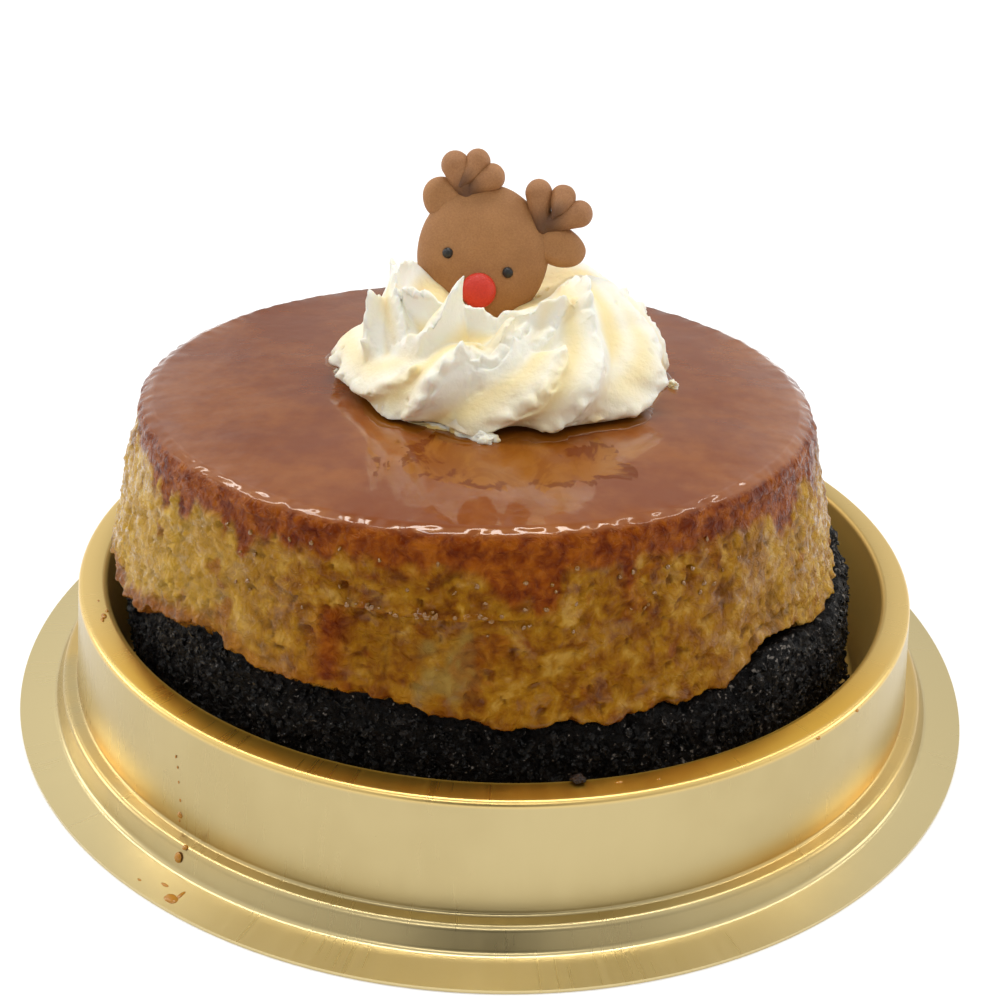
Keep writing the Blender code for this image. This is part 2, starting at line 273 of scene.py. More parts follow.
def gridFaces(rings, count, closedEnds=True):
    # Quads between rings of points that run round upwards, with a point closing each end
    index = np.arange(rings * count).reshape(rings, count)
    after = np.roll(index, -1, axis=1)
    quads = np.stack([index[:-1], after[:-1], after[1:], index[1:]], axis=-1).reshape(-1, 4).tolist()
    if closedEnds:
        low, high = rings * count, rings * count + 1
        quads += np.stack([np.full(count, low), after[0], index[0]], axis=-1).tolist()
        quads += np.stack([np.full(count, high), index[-1], after[-1]], axis=-1).tolist()
    return quads


def turnedPiece(name, rings, low, high, finish, replaced=(), attributes=None):
    # Closed skin over rings of points in mm, with a point at each end
    verts = np.concatenate([*rings, [low, high]]) * mm
    return meshPiece(name, verts, gridFaces(len(rings), len(rings[0])), finish, replaced, attributes)


def filleted(corners, arcSteps):
    # Outline through (radius, height, fillet) corners, each fillet as an arc
    outline = []
    for index, (radius, height, fillet) in enumerate(corners):
        here = Vector((radius, height))
        if fillet == 0.0:
            outline.append(here)
            continue
        before = (Vector(corners[index - 1][:2]) - here).normalized()
        after = (Vector(corners[index + 1][:2]) - here).normalized()
        half = before.angle(after) / 2.0
        centre = here + (before + after).normalized() * fillet / math.sin(half)
        start = here + before * fillet / math.tan(half) - centre
        end = here + after * fillet / math.tan(half) - centre
        for step in range(arcSteps + 1):
            outline.append(centre + start.slerp(end, step / arcSteps).normalized() * fillet)
    return outline


# Camera, at the photograph's viewing angle

camera = {
    "place": (0.0, -235.23, 152.75),        # mm
    "forward": (0.0017, 0.893, -0.450),
    "roll": 2.086,                          # degrees
    "lens": 44.615,
}


def makeCamera():
    data = bpy.data.cameras.new("viewCamera")
    data.lens = camera["lens"]
    data.sensor_width = 36.0
    data.clip_start = 0.01
    holder = linked("viewCamera", data)
    forward = Vector(camera["forward"]).normalized()
    level = forward.cross(Vector((0.0, 0.0, 1.0))).normalized()
    upright = level.cross(forward)
    roll = math.radians(camera["roll"])
    right = level * math.cos(roll) + upright * math.sin(roll)
    up = upright * math.cos(roll) - level * math.sin(roll)
    turn = Matrix((right, up, -forward)).transposed().to_4x4()
    holder.matrix_world = Matrix.Translation(Vector(camera["place"]) * mm) @ turn
    bpy.context.scene.camera = holder


makeCamera()
print("camera placed")


# Light: a pale room, brighter to both sides, with a long panel overhead and slim ones beside it and in front

light = {
    "room": (                               # way of looking, from where to where it changes, radiance there
        ("Z", 0.44, 0.72, 0.38, 0.42),      # horizon to overhead
        ("X", -0.19, -0.30, 0.0, 0.56),     # what the left adds
        ("X", 0.17, 0.30, 0.0, 0.46),       # what the right adds
        ("Y", -0.35, -0.75, 0.0, -0.27),    # the camera's side is darker
    ),
    "aim": (0.0, 0.0, 0.05),                # where the panels look, in metres
    "panels": (                             # place, way it runs, width and depth in metres and power in watts
        ("panelTop", (0.02, 0.16, 1.00), (1.0, 0.0, 0.0), 0.56, 0.10, 2.9),
        ("panelTopLeft", (-0.47, 0.30, 0.83), (0.26, -0.24, 0.28), 0.50, 0.06, 1.1),
        ("panelTopRight", (0.45, 0.28, 0.86), (0.26, 0.24, -0.28), 0.42, 0.05, 0.7),
        ("panelFront", (-0.04, -0.62, 0.80), (1.0, 0.0, 0.0), 0.60, 0.03, 1.2),
        ("panelLeft", (-0.95, 0.20, 0.42), (0.0, -1.0, 0.0), 0.40, 0.30, 1.3),
        ("panelRight", (0.95, 0.10, 0.42), (0.0, 1.0, 0.0), 0.40, 0.30, 1.1),
    ),
    "floor": 6.0,                           # half its width in metres
    "floorTone": (0.90, 0.90, 0.90),
    "floorGlow": (0.10, 0.62),              # near the tray and far away
}


def makeLight():
    world = bpy.data.worlds.new("room")
    bpy.context.scene.world = world
    world.use_nodes = True
    room = Nodes(world.node_tree)
    looking = room.node("ShaderNodeTexCoord", output="Generated")
    shares = []
    for axis, start, end, low, high in light["room"]:
        limits = {"From Min": start, "From Max": end, "To Min": low, "To Max": high}
        shares.append(room.node("ShaderNodeMapRange", None, {"Value": room.part(looking, axis), **limits}))
    background = room.tree.nodes["Background"]
    room.feed(background.inputs["Color"], (1.0, 1.0, 1.0))
    room.feed(background.inputs["Strength"], sum(shares[1:], shares[0]))
    for name, spot, along, width, depth, power in light["panels"]:
        data = bpy.data.lights.new(name, "AREA")
        data.shape = "RECTANGLE"
        data.size = width
        data.size_y = depth
        data.energy = power
        away = (Vector(spot) - Vector(light["aim"])).normalized()
        across = (Vector(along) - away * away.dot(Vector(along))).normalized()
        turn = Matrix((across, away.cross(across), away)).transposed()
        linked(name, data).matrix_world = Matrix.Translation(spot) @ turn.to_4x4()
    finish = Finish("paleFloor")
    away = finish.length(finish.place())
    near, far = light["floorGlow"]
    glow = finish.blend(finish.between(away, 0.25, 1.3), (near, near, near), (far, far, far))
    floorFinish = finish.surface(baseColor=light["floorTone"], roughness=0.9, specularIorLevel=0.0,
                                 emissionColor=glow, emissionStrength=1.0)
    mesh = bpy.data.meshes.new("floor")
    reach = light["floor"]
    corners = [(-reach, -reach, 0.0), (reach, -reach, 0.0), (reach, reach, 0.0), (-reach, reach, 0.0)]
    mesh.from_pydata(corners, [], [(0, 1, 2, 3)])
    mesh.materials.append(floorFinish)
    linked("floor", mesh)
    bpy.context.scene.view_settings.view_transform = "Standard"


makeLight()
print("light and floor placed")


# Gold tray

tray = {
    "radius": 100.0,                        # all in mm
    "sheet": 0.7,
    "floor": 2.0,
    "height": 25.3,
    "rimOuter": 86.0,
    "rimInner": 80.6,
    "wellRadius": 78.2,
    "wallFoot": 88.5,
    "ledgeRadius": 91.2,
    "ledgeHeight": 4.6,
    "flangeInner": 93.0,
    "segments": 360,
    "wallTones": ((0.495, 0.393, 0.192), (0.55, 0.445, 0.224)),
    "flangeTone": (0.68, 0.555, 0.285),
    "rimTone": (0.80, 0.565, 0.200),
    "rimFrontReflectionTone": (0.80, 0.46, 0.065),
    "insideTone": (0.84, 0.510, 0.120),
    "zones": {                              # from where to where each fades in, in metres up or out from the middle
        "rimTop": (0.0240, 0.0250),
        "flange": (0.0925, 0.0940),
        "inside": (0.0818, 0.0802),
        "footUp": (0.0105, 0.0050),
        "footOut": (0.0865, 0.0880),
        "bandOut": (0.0925, 0.0905),
        "rimInner": (0.0858, 0.0846),
    },
}


def goldFinish():
    finish = Finish("goldFoil")
    zones = tray["zones"]
    spot = finish.place()
    flat = finish.stretched(spot, (1.0, 1.0, 0.0))
    around = finish.node("ShaderNodeVectorMath", {"operation": "NORMALIZE"}, [flat])
    height = finish.part(spot, "Z")
    lifted = finish.node("ShaderNodeCombineXYZ", None, {"Z": height * 1.2})
    streakPlace = finish.node("ShaderNodeVectorMath", {"operation": "ADD"}, [around, lifted])
    streaks = finish.noise(streakPlace, 0.012, 3.0)
    cloud = finish.noise(spot, 0.03, 3.0)
    grain = finish.noise(spot, 0.0006, 2.0)
    reach = finish.length(flat)
    toSide = finish.part(around, "X").math("ABSOLUTE")
    toFront = finish.part(around, "Y") * -1.0
    rimTop = finish.between(height, *zones["rimTop"])
    flange = finish.between(reach, *zones["flange"])
    inside = finish.between(reach, *zones["inside"])
    foot = finish.between(height, *zones["footUp"]) * finish.between(reach, *zones["footOut"])
    pale = finish.blend(finish.between(cloud, 0.35, 0.7), *tray["wallTones"])
    pale = finish.blend(flange, pale, tray["flangeTone"])
    warm = finish.blend(rimTop, pale, tray["rimTone"])
    # Painted light: the inside is warmer and less mirror-like, so it shows gold light instead of mirroring the dark
    # cake
    warm = finish.blend(inside, warm, tray["insideTone"])
    # Painted reflection: the front of the rim's inner edge and a band at the wall's foot on both sides are tinted deep
    # amber, where the foil mirrors the flan and the flange
    rimReflection = rimTop * finish.between(toFront, 0.35, 0.75) * finish.between(reach, *zones["rimInner"])
    band = foot * finish.between(reach, *zones["bandOut"]) * finish.between(toSide, 0.30, 0.62)
    band = band * finish.between(cloud, 0.3, 0.6)
    colour = finish.blend((rimReflection + 0.4 * band).math("MINIMUM", 1.0), warm, tray["rimFrontReflectionTone"])
    rough = 0.20 + 0.10 * streaks + 0.08 * cloud + 0.18 * inside
    bumpy = finish.bumped(streaks * 0.6 + grain * 0.4, 0.00003, 0.3)
    return finish.surface(baseColor=colour, metallic=1.0 - 0.7 * inside, roughness=rough, normal=bumpy)


def makeTray():
    corners = (                             # radius, height and fillet
        (0.0, tray["floor"], 0.0),
        (tray["wellRadius"], tray["floor"], 1.6),
        (tray["rimInner"], tray["height"], 1.1),
        (tray["rimOuter"], tray["height"], 1.0),
        (tray["wallFoot"], tray["ledgeHeight"], 0.6),
        (tray["ledgeRadius"], tray["ledgeHeight"], 1.3),
        (tray["flangeInner"], tray["sheet"], 1.2),
        (tray["radius"], tray["sheet"], 0.0),
    )
    skin = np.array([tuple(point) for point in filleted(corners, arcSteps=8)])
    along = np.gradient(skin, axis=0)
    side = np.stack([along[:, 1], -along[:, 0]], axis=1)
    side /= np.linalg.norm(side, axis=1, keepdims=True)
    under = skin + side * tray["sheet"]
    outline = np.concatenate([under[1:], skin[:0:-1]])
    turn = turns(tray["segments"])
    rings = ringAt(turn, outline[:, 0, None], outline[:, 1, None])
    low, high = (0.0, 0.0, tray["floor"] - tray["sheet"]), (0.0, 0.0, tray["floor"])
    piece = turnedPiece("goldTray", rings, low, high, goldFinish(), ["gold_tray"])
    piece.data.set_sharp_from_angle(angle=math.radians(40.0))


makeTray()


# The two baked layers share one axis and one ragged seam

cake = {
    "flanAxis": (-4.7, -2.5),               # all in mm
    "chocolateAxis": (-1.3, -1.7),
    "chocolateRadius": 75.0,
    "flanTop": 62.7,
    "topRadius": 66.1,
    "shoulder": 2.7,
    "draft": 0.255,
    "edgeRound": (3.3, 3.1),                # inwards and downwards
    "edgeBevel": (50.0, 80.0),              # degrees of the rounding that lie flat
    "seam": 31.0,
    "seamRises": ((-127.0, 6.6, 13.0), (-105.0, 3.9, 11.0), (-42.0, 4.6, 7.5)),   # degrees, mm, degrees
    "seamRough": 0.8,
    "seamRagged": 0.75,
    "gap": 0.15,
    "columns": 720,
}


def onCake(angle, radius, height):
    return ringAt(angle, radius, height, cake["flanAxis"])


def seamHeight(angle):
    height = np.full(angle.shape, cake["seam"])
    for degrees, rise, spread in cake["seamRises"]:
        height += rise * bump(np.degrees(angle), degrees, spread)
    around = ringAt(angle, 1.0, 0.0)
    height += cake["seamRough"] * softNoise(around, 0.11, 3)
    height += cake["seamRagged"] * layeredNoise(around, 0.035, 5)
    return height


def flanRadius(height):
    return cake["topRadius"] + (cake["flanTop"] - cake["shoulder"] - height) * cake["draft"]


flan = {
    "sideRows": 96,
    "edgeRows": 14,
    "topRows": 18,
    "knobSize": 2.7,
    "knobDepth": 0.52,
    "filmSize": 1.9,
    "filmDepth": 0.30,
    "beadSize": 1.7,
    "beadDepth": 0.28,
    "waveSize": 10.0,
    "waveDepth": 0.55,
    "pitSize": 2.0,
    "pitDepth": 0.45,
    "ledgeHeight": 49.0,
    "ledgeFrom": -107.0,                    # degrees
    "ledgeTo": -84.0,
    "ledgeStep": 1.5,
    "soakDepth": 6.0,
    "dripDepth": 6.0,
    "thinPlace": (175.0, 46.0),             # place and spread of the thin caramel, of the stain and of the browned rim
    "stainPlace": (-107.5, 2.2),
    "rimPlace": (-146.0, 36.0),
    "palePlace": (-92.0, 38.5),             # degrees, mm
    "paleSize": (5.2, 7.0),
    "poolAndReflectionPlace": (1.5, -40.0),              # mm, in front of the cream: syrup and a painted reflection of the cream and topper
    "poolSize": (21.0, 13.0),
    "custardTones": ((0.34, (0.14, 0.035, 0.0005)), (0.43, (0.26, 0.093, 0.0015)), (0.56, (0.40, 0.198, 0.0085)),
                     (0.70, (0.60, 0.385, 0.0800))),
    "caramelTones": ((0.38, (0.10, 0.008, 0.0003)), (0.50, (0.19, 0.032, 0.0009)), (0.64, (0.30, 0.074, 0.0030))),
    "hollowShadeAndBrownTone": (0.13, 0.032, 0.0008),
    "paleTone": (0.31, 0.24, 0.075),
    "frontShade": (0.72, 0.58, 0.42),
    "leftTone": (0.72, 0.47, 0.060),
    "rightLightTone": (0.74, 0.47, 0.065),
    "topTones": ((0.205, 0.048, 0.008), (0.295, 0.090, 0.016)),
    "topLeftShade": (0.72, 0.62, 0.55),
    "poolAndReflectionTones": ((0.22, 0.060, 0.004), (0.27, 0.088, 0.009)),
    "poolRimAndReflectionTone": (0.155, 0.030, 0.0008),
    "zones": {                              # from where to where each fades in, in metres from the tray's axis
        "front": (0.020, 0.062),
        "left": (0.025, 0.060),
        "right": (0.030, 0.062),
        "topLeft": (0.015, 0.062),
        "coatLeft": (0.030, 0.062),
    },
    "underReach": (20.0, 50.0, 68.0),       # radii of the rings underneath
    "beadRows": (46, 92),                   # syrup beads cling to the front of these rows of the side and to the ledge
    "beadFront": (-128.0, -48.0),           # degrees
    "beadTone": (0.22, 0.088, 0.005),
    "beads": {"Density": 0.035e6, "Smallest": 0.4, "Largest": 1.0, "Seed": 31},      # per square metre, mm
    "ledgeBeads": {"Density": 0.6e6, "Smallest": 0.4, "Largest": 1.0, "Seed": 37},
}


def flanRelief(points, degrees, height):
    # How far the baked side stands out, and how much shade is painted into its hollows
    curled = warped(points, 2.6, 0.9, 37)
    near, far, owner = cellNoise(curled, flan["knobSize"], 41)
    knob = 1.0 - 2.2 * near ** 2
    crease = 1.0 - smooth(far - near, 0.0, 0.22)
    lumpy = 0.25 + 0.75 * smooth(softNoise(points, 9.0, 59) + 0.3 * owner, -0.5, 0.5)
    lumpy *= 1.15 - 0.6 * bump(degrees, -95.0, 38.0)
    film = 0.5 - np.abs(softNoise(curled * np.array([1.0, 1.0, 1.25]), flan["filmSize"], 61))
    film += 0.5 * (0.5 - np.abs(softNoise(curled, flan["filmSize"] / 2.0, 63)))
    pit = smooth(-layeredNoise(curled, flan["pitSize"], 67, 2), 0.50, 0.85)
    wave = layeredNoise(points, flan["waveSize"], 53, 2)
    along = smooth(degrees, flan["ledgeFrom"] - 0.8, flan["ledgeFrom"] + 0.8)
    along = along * (1.0 - smooth(degrees, flan["ledgeTo"] - 4.0, flan["ledgeTo"] + 6.0))
    ledgeLine = flan["ledgeHeight"] + 0.6 * softNoise(points, 3.0, 69)
    ledge = along * (1.0 - smooth(height, ledgeLine - 0.25, ledgeLine + 0.25)) * smooth(height, 39.0, 46.0)
    rim = along * bump((height - ledgeLine - 0.6) * 10.0, 0.0, 6.0)
    calm = 1.0 - 0.55 * ledge
    bead, _, beadOwner = cellNoise(curled, flan["beadSize"], 43)
    beads = smooth(beadOwner, -0.2, 0.4) * np.clip(1.0 - (bead / 0.48) ** 2, 0.0, 1.0)
    relief = (flan["knobDepth"] * knob * lumpy - 0.12 * crease * lumpy + flan["filmDepth"] * film) * calm
    relief += flan["beadDepth"] * beads * (0.4 + 0.6 * lumpy)
    relief += flan["waveDepth"] * wave - flan["pitDepth"] * pit - flan["ledgeStep"] * ledge + 0.65 * rim
    # Painted shade: pits, creases, low film and low waves are darkened
    dark = 0.7 * pit + 0.32 * crease * lumpy + 0.4 * smooth(-film, -0.3, 0.3) + 0.35 * smooth(-wave, 0.1, 0.9)
    return relief, np.clip(dark, 0.0, 1.0)


def flanFinish():
    finish = Finish("flanCustard")
    spot = finish.place()
    zones = flan["zones"]
    soak, dark, pale, top, pool = (finish.attribute(name) for name in ("soak", "hollow", "pale", "top", "pool"))
    toFront = finish.part(spot, "Y") * -1.0
    toRight = finish.part(spot, "X")
    toLeft = toRight * -1.0
    patches = finish.noise(spot, 0.0040, 3.0, 0.5, 0.5)
    speckle = finish.noise(spot, 0.0017, 2.0, 0.5, 0.4)
    side = finish.ramp(patches * 0.68 + speckle * 0.32, flan["custardTones"])
    # Painted shade in the hollows, together with the real browning at the foot
    side = finish.blend(finish.between(dark, 0.25, 0.95) * 0.8, side, flan["hollowShadeAndBrownTone"])
    side = finish.blend(pale * 0.65, side, flan["paleTone"])
    side = finish.blend(finish.between(toFront, *zones["front"]) * 0.8, side, flan["frontShade"], "MULTIPLY")
    # Painted light: the left side, and a little the right, are paler, where more light falls on them
    side = finish.blend(finish.between(toLeft, *zones["left"]) * 0.38, side, flan["leftTone"])
    side = finish.blend(finish.between(toRight, *zones["right"]) * 0.18, side, flan["rightLightTone"])
    side = finish.blend(soak, side, finish.ramp(patches * 0.5 + speckle * 0.5, flan["caramelTones"]))
    drift = finish.noise(spot, 0.03, 3.0) * 0.7 + finish.noise(spot, 0.004, 3.0) * 0.3
    topTone = finish.blend(finish.between(drift, 0.38, 0.66), *flan["topTones"])
    toned = finish.between(toLeft, *zones["topLeft"]) * 0.55
    topTone = finish.blend(toned, topTone, flan["topLeftShade"], "MULTIPLY")
    streaked = finish.noise(finish.stretched(spot, (1.0, 0.5, 1.0)), 0.0080, 4.0, 0.6, 1.0)
    # Painted reflection: in front of the cream the top turns a darker, deeper amber with less coat, part syrup, part
    # the mirrored shade of the cream and topper
    depth = pool + (streaked - 0.5) * 1.5
    poolAndReflectionArea = finish.between(depth, 0.42, 0.46)
    poolRimAndReflection = 1.0 - finish.between(depth, 0.58, 0.70)
    poolRimAndReflection = poolRimAndReflection * finish.between(finish.noise(spot, 0.0070, 3.0), 0.45, 0.50)
    poolAndReflectionTone = finish.blend(finish.between(streaked, 0.42, 0.60), *flan["poolAndReflectionTones"])
    poolAndReflectionTone = finish.blend(poolRimAndReflection, poolAndReflectionTone, flan["poolRimAndReflectionTone"])
    colour = finish.blend(top, side, finish.blend(poolAndReflectionArea, topTone, poolAndReflectionTone))
    film = finish.bumped(finish.noise(spot, 0.0045, 2.0), 0.00014, top)
    wrinkles = finish.noise(spot, 0.0017, 4.0, 0.55, 1.2)
    bumpy = finish.bumped(wrinkles, 0.0011, 0.8 * (1.0 - top), film)
    damp = finish.between(finish.noise(spot, 0.0032, 2.0), 0.54, 0.60)
    coat = top * (1.0 - 0.7 * poolAndReflectionArea) * (1.0 - 0.5 * finish.between(toLeft, *zones["coatLeft"]))
    coat = coat + 0.5 * damp * (1.0 - soak) * (1.0 - top)
    return finish.surface(baseColor=colour, roughness=0.10 + 0.16 * patches - 0.06 * damp, normal=bumpy,
                          specularIorLevel=0.25, specularTint=(1.0, 0.62, 0.22), coatWeight=coat,
                          coatRoughness=0.05, coatIor=1.37, subsurfaceWeight=0.06,
                          subsurfaceRadius=(1.0, 0.45, 0.15), subsurfaceScale=0.003)


def makeFlan():
    angle = turns(cake["columns"])
    degrees = (np.degrees(angle) + 180.0) % 360.0 - 180.0
    around = ringAt(angle, 1.0, 0.0)
    foot = seamHeight(angle)
    edgeIn, edgeDown = cake["edgeRound"]
    sideTop = cake["flanTop"] - edgeDown
    rings = []
    masks = {"soak": [], "hollow": [], "pale": [], "top": [], "pool": []}

    def add(ring, soak, hollow=0.0, pale=0.0, top=0.0):
        rings.append(ring)
        away = (ring[:, :2] - flan["poolAndReflectionPlace"]) / flan["poolSize"]
        pool = np.exp(-(away ** 2).sum(axis=-1) ** 1.5) if top else 0.0
        for name, value in zip(masks, (soak, hollow, pale, top, pool)):
            masks[name].append(np.broadcast_to(value, angle.shape))

    for reach in flan["underReach"]:
        add(onCake(angle, reach, cake["seam"]), 0.0)
    curl = 0.9 * smooth(softNoise(around, 0.045, 91), -0.6, 0.8)
    for share in (0.0, *np.linspace(0.012, 1.0, flan["sideRows"])):
        height = foot + (sideTop - foot) * share
        radius = flanRadius(height)
        points = onCake(angle, radius, height)
        relief, dark = flanRelief(points, degrees, height)
        rise = height - foot
        lip = 1.0 - smooth(rise / 1.3, 0.0, 1.0)
        flare = curl * np.exp(-((rise - 1.3) / 1.1) ** 2)
        drip = flan["dripDepth"] * smooth(softNoise(around, 0.09, 71) + 0.5 * softNoise(around, 0.03, 75), 0.1, 1.1)
        thin = bump(degrees, *flan["thinPlace"])
        soakLine = cake["flanTop"] - flan["soakDepth"] * (1.0 - 0.42 * thin) - drip * (1.0 - 0.75 * thin)
        soakLine += 1.4 * softNoise(points, 2.2, 73)
        soak = smooth(height, soakLine - 1.8, soakLine + 1.2)
        stain = 0.6 * smooth(layeredNoise(warped(points, 4.0, 2.0, 77), 5.0, 79, 3), 0.55, 0.95)
        soakLeft = bump(degrees, *flan["stainPlace"]) * smooth(height, 36.0, 38.0) * (1.0 - smooth(height, 48.0, 49.5))
        lowRim = bump(degrees, *flan["rimPlace"]) * (1.0 - smooth(rise + 1.6 * softNoise(points, 3.0, 85), 1.6, 4.6))
        singe = 0.9 * (1.0 - smooth(rise, 0.4, 3.4)) * smooth(softNoise(points, 4.0, 83), -0.5, 0.4)
        across = (degrees - flan["palePlace"][0]) * math.radians(1.0) * radius / flan["paleSize"][0]
        up = (height - flan["palePlace"][1]) / flan["paleSize"][1]
        pale = smooth(np.exp(-(across ** 2 + up ** 2)) + 0.5 * layeredNoise(points, 4.0, 89, 2), 0.45, 0.85)
        relief = relief * (1.0 - 0.45 * soak)
        soaked = np.maximum.reduce([soak, stain, soakLeft, 0.85 * lowRim])
        skin = onCake(angle, radius + relief - 1.3 * lip ** 2 + flare, height)
        # hollow carries the painted shade of the relief and the real browning at the foot
        add(skin, soaked, np.maximum(dark, singe), pale)
    bevel = [math.radians(degree) for degree in cake["edgeBevel"]]
    for step in range(1, flan["edgeRows"] + 1):
        tip = step / flan["edgeRows"] * math.pi / 2.0
        inward, climb = 1.0 - math.cos(tip), math.sin(tip)
        if bevel[0] < tip < bevel[1]:
            part = (tip - bevel[0]) / (bevel[1] - bevel[0])
            inward = 1.0 - math.cos(bevel[0]) * (1.0 - part) - math.cos(bevel[1]) * part
            climb = math.sin(bevel[0]) * (1.0 - part) + math.sin(bevel[1]) * part
        ripple = onCake(angle, flanRadius(sideTop) - edgeIn * inward, sideTop + edgeDown * climb)
        uneven = 0.34 * layeredNoise(ripple, 5.0, 97, 3) + 0.30 * softNoise(ripple, 1.7, 101)
        fade = math.cos(tip) ** 0.5 if step < flan["edgeRows"] else 0.0
        radius = flanRadius(sideTop) - edgeIn * inward + uneven * fade
        height = sideTop + edgeDown * climb + 0.5 * uneven * fade * inward
        if step < 6:
            relief, dark = flanRelief(onCake(angle, radius, height), degrees, height)
            radius = radius + relief * 0.55 * (1.0 - step / 6.0)
        add(onCake(angle, radius, height), 1.0, top=min(max((step - 6.0) / 3.0, 0.0), 1.0))
    rim = flanRadius(sideTop) - edgeIn
    for share in np.linspace(1.0, 0.0, flan["topRows"] + 1)[1:-1]:
        points = onCake(angle, rim * share, cake["flanTop"])
        points[:, 2] += 0.10 * layeredNoise(points, 16.0, 103, 2) + 0.03 * softNoise(points, 4.0, 107)
        add(points, 1.0, top=1.0)
    low, high = (*cake["flanAxis"], cake["seam"]), (*cake["flanAxis"], cake["flanTop"])
    values = {name: np.concatenate([*rows, (0.0, rows[-1][0])]) for name, rows in masks.items()}
    turnedPiece("flanBody", rings, low, high, flanFinish(), ["flan"], values)
    first = len(flan["underReach"])
    return np.array(rings[first:first + 1 + flan["sideRows"]]), degrees


chocolate = {
    "sideRows": 92,
    "profile": ((0.0, 2.2), (0.07, 0.7), (0.30, 0.2), (0.55, 0.0), (0.78, 0.3), (0.93, 1.3), (1.0, 2.6)),
    "crumbSize": 3.4,
    "crumbDepth": 1.5,
    "fineSize": 1.35,
    "fineDepth": 0.8,
    "pitDepth": 1.3,
    "crumbs": {"Density": 0.58e6, "Smallest": 0.35, "Largest": 1.9, "Seed": 11},     # per square metre, mm
    "looseCrumbs": {"Density": 1.2e6, "Smallest": 0.6, "Largest": 2.1, "Seed": 23},
    "topRings": ((69.0, 0.4), (66.0, 1.0), (40.0, 1.5)),     # radius and how far below the seam
    "bedColumns": 240,                      # coarser copy of the side that the crumbs lie on
    "bedRows": 40,
    "gapReach": (77.6, 75.0),               # radii between which the loose ones lie
    "gapLift": 0.2,                         # above the tray's floor
    "layerTones": ((0.0012, 0.0008, 0.0006), (0.009, 0.0056, 0.0034)),
    "crumbTones": ((0.0016, 0.0012, 0.0009), (0.016, 0.011, 0.008)),
    "glintTone": (0.20, 0.175, 0.150),
}


def chocolateEdge(angle):
    # Radius of the chocolate layer seen from the flan's axis
    shiftX = cake["chocolateAxis"][0] - cake["flanAxis"][0]
    shiftY = cake["chocolateAxis"][1] - cake["flanAxis"][1]
    across = shiftX * np.sin(angle) - shiftY * np.cos(angle)
    return shiftX * np.cos(angle) + shiftY * np.sin(angle) + np.sqrt(cake["chocolateRadius"] ** 2 - across ** 2)


def chocolateFinish(name, tones, roughness, specular):
    finish = Finish(name)
    spot = finish.place()
    clots = finish.noise(spot, 0.0018, 4.0, 0.7, 0.5)
    colour = finish.blend(finish.between(clots, 0.45, 0.75), *tones)
    # Painted glints: sparse pale grey specks, more of them toward the right
    glintSpots = finish.noise(spot, 0.0010, 2.0) + 0.06 * finish.between(finish.part(spot, "X"), 0.0, 0.055)
    colour = finish.blend(finish.between(glintSpots, 0.67, 0.73), colour, chocolate["glintTone"])
    bumpy = finish.bumped(finish.noise(spot, 0.0007, 3.0, 0.6, 0.5), 0.0015, 1.0)
    return finish.surface(baseColor=colour, roughness=roughness + 0.3 * clots, specularIorLevel=specular, normal=bumpy)


chocolateLook = chocolateFinish("chocolateCrumb", chocolate["layerTones"], roughness=0.22, specular=0.14)
crumbLook = chocolateFinish("looseChocolate", chocolate["crumbTones"], roughness=0.04, specular=0.36)


def chocolateRings(angle, rows):
    base = tray["floor"] + cake["gap"]
    top = seamHeight(angle) - cake["gap"]
    shares, insets = np.array(chocolate["profile"]).T
    rings = []
    for share in np.linspace(0.0, 1.0, rows):
        height = base + (top - base) * share
        radius = chocolateEdge(angle) - np.interp(share, shares, insets)
        points = warped(onCake(angle, radius, height), 3.0, 1.0, 109)
        near, _, owner = cellNoise(points, chocolate["crumbSize"], 113)
        fine, _, _ = cellNoise(points, chocolate["fineSize"], 127)
        relief = chocolate["crumbDepth"] * (0.45 - near) * (0.7 + 0.3 * owner) + chocolate["fineDepth"] * (0.45 - fine)
        relief += 0.5 * layeredNoise(points, 7.0, 131, 2) + 0.3 * softNoise(points, 0.8, 133)
        relief -= chocolate["pitDepth"] * smooth(-layeredNoise(points, 3.0, 137, 2), 0.35, 0.9)
        rings.append(onCake(angle, radius + relief * smooth(share, 0.0, 0.08), height))
    return rings, base, top


def makeChocolate():
    angle = turns(cake["columns"])
    rings, base, top = chocolateRings(angle, chocolate["sideRows"])
    for reach, sink in chocolate["topRings"]:
        rings.append(onCake(angle, reach, np.minimum(top, cake["seam"]) - sink))
    low, high = (*cake["flanAxis"], base), (*cake["flanAxis"], cake["seam"] - chocolate["topRings"][-1][1])
    turnedPiece("chocolateLayer", rings, low, high, chocolateLook, ["chocolate_layer"])


# Crumbs: one rough crumb scattered over a bed of faces

def crumbShape(name, seed, divisions=1, rough=1.0):
    shape = bmesh.new()
    bmesh.ops.create_icosphere(shape, subdivisions=divisions, radius=0.5)
    for vertex in shape.verts:
        spot = np.array(vertex.co)[None]
        uneven = 0.42 * float(softNoise(spot, 0.36, seed)[0]) + 0.20 * float(softNoise(spot, 0.15, seed + 1)[0])
        vertex.co *= 1.0 + rough * uneven
    mesh = bpy.data.meshes.new(name)
    shape.to_mesh(mesh)
    shape.free()
    return linked(name, mesh)


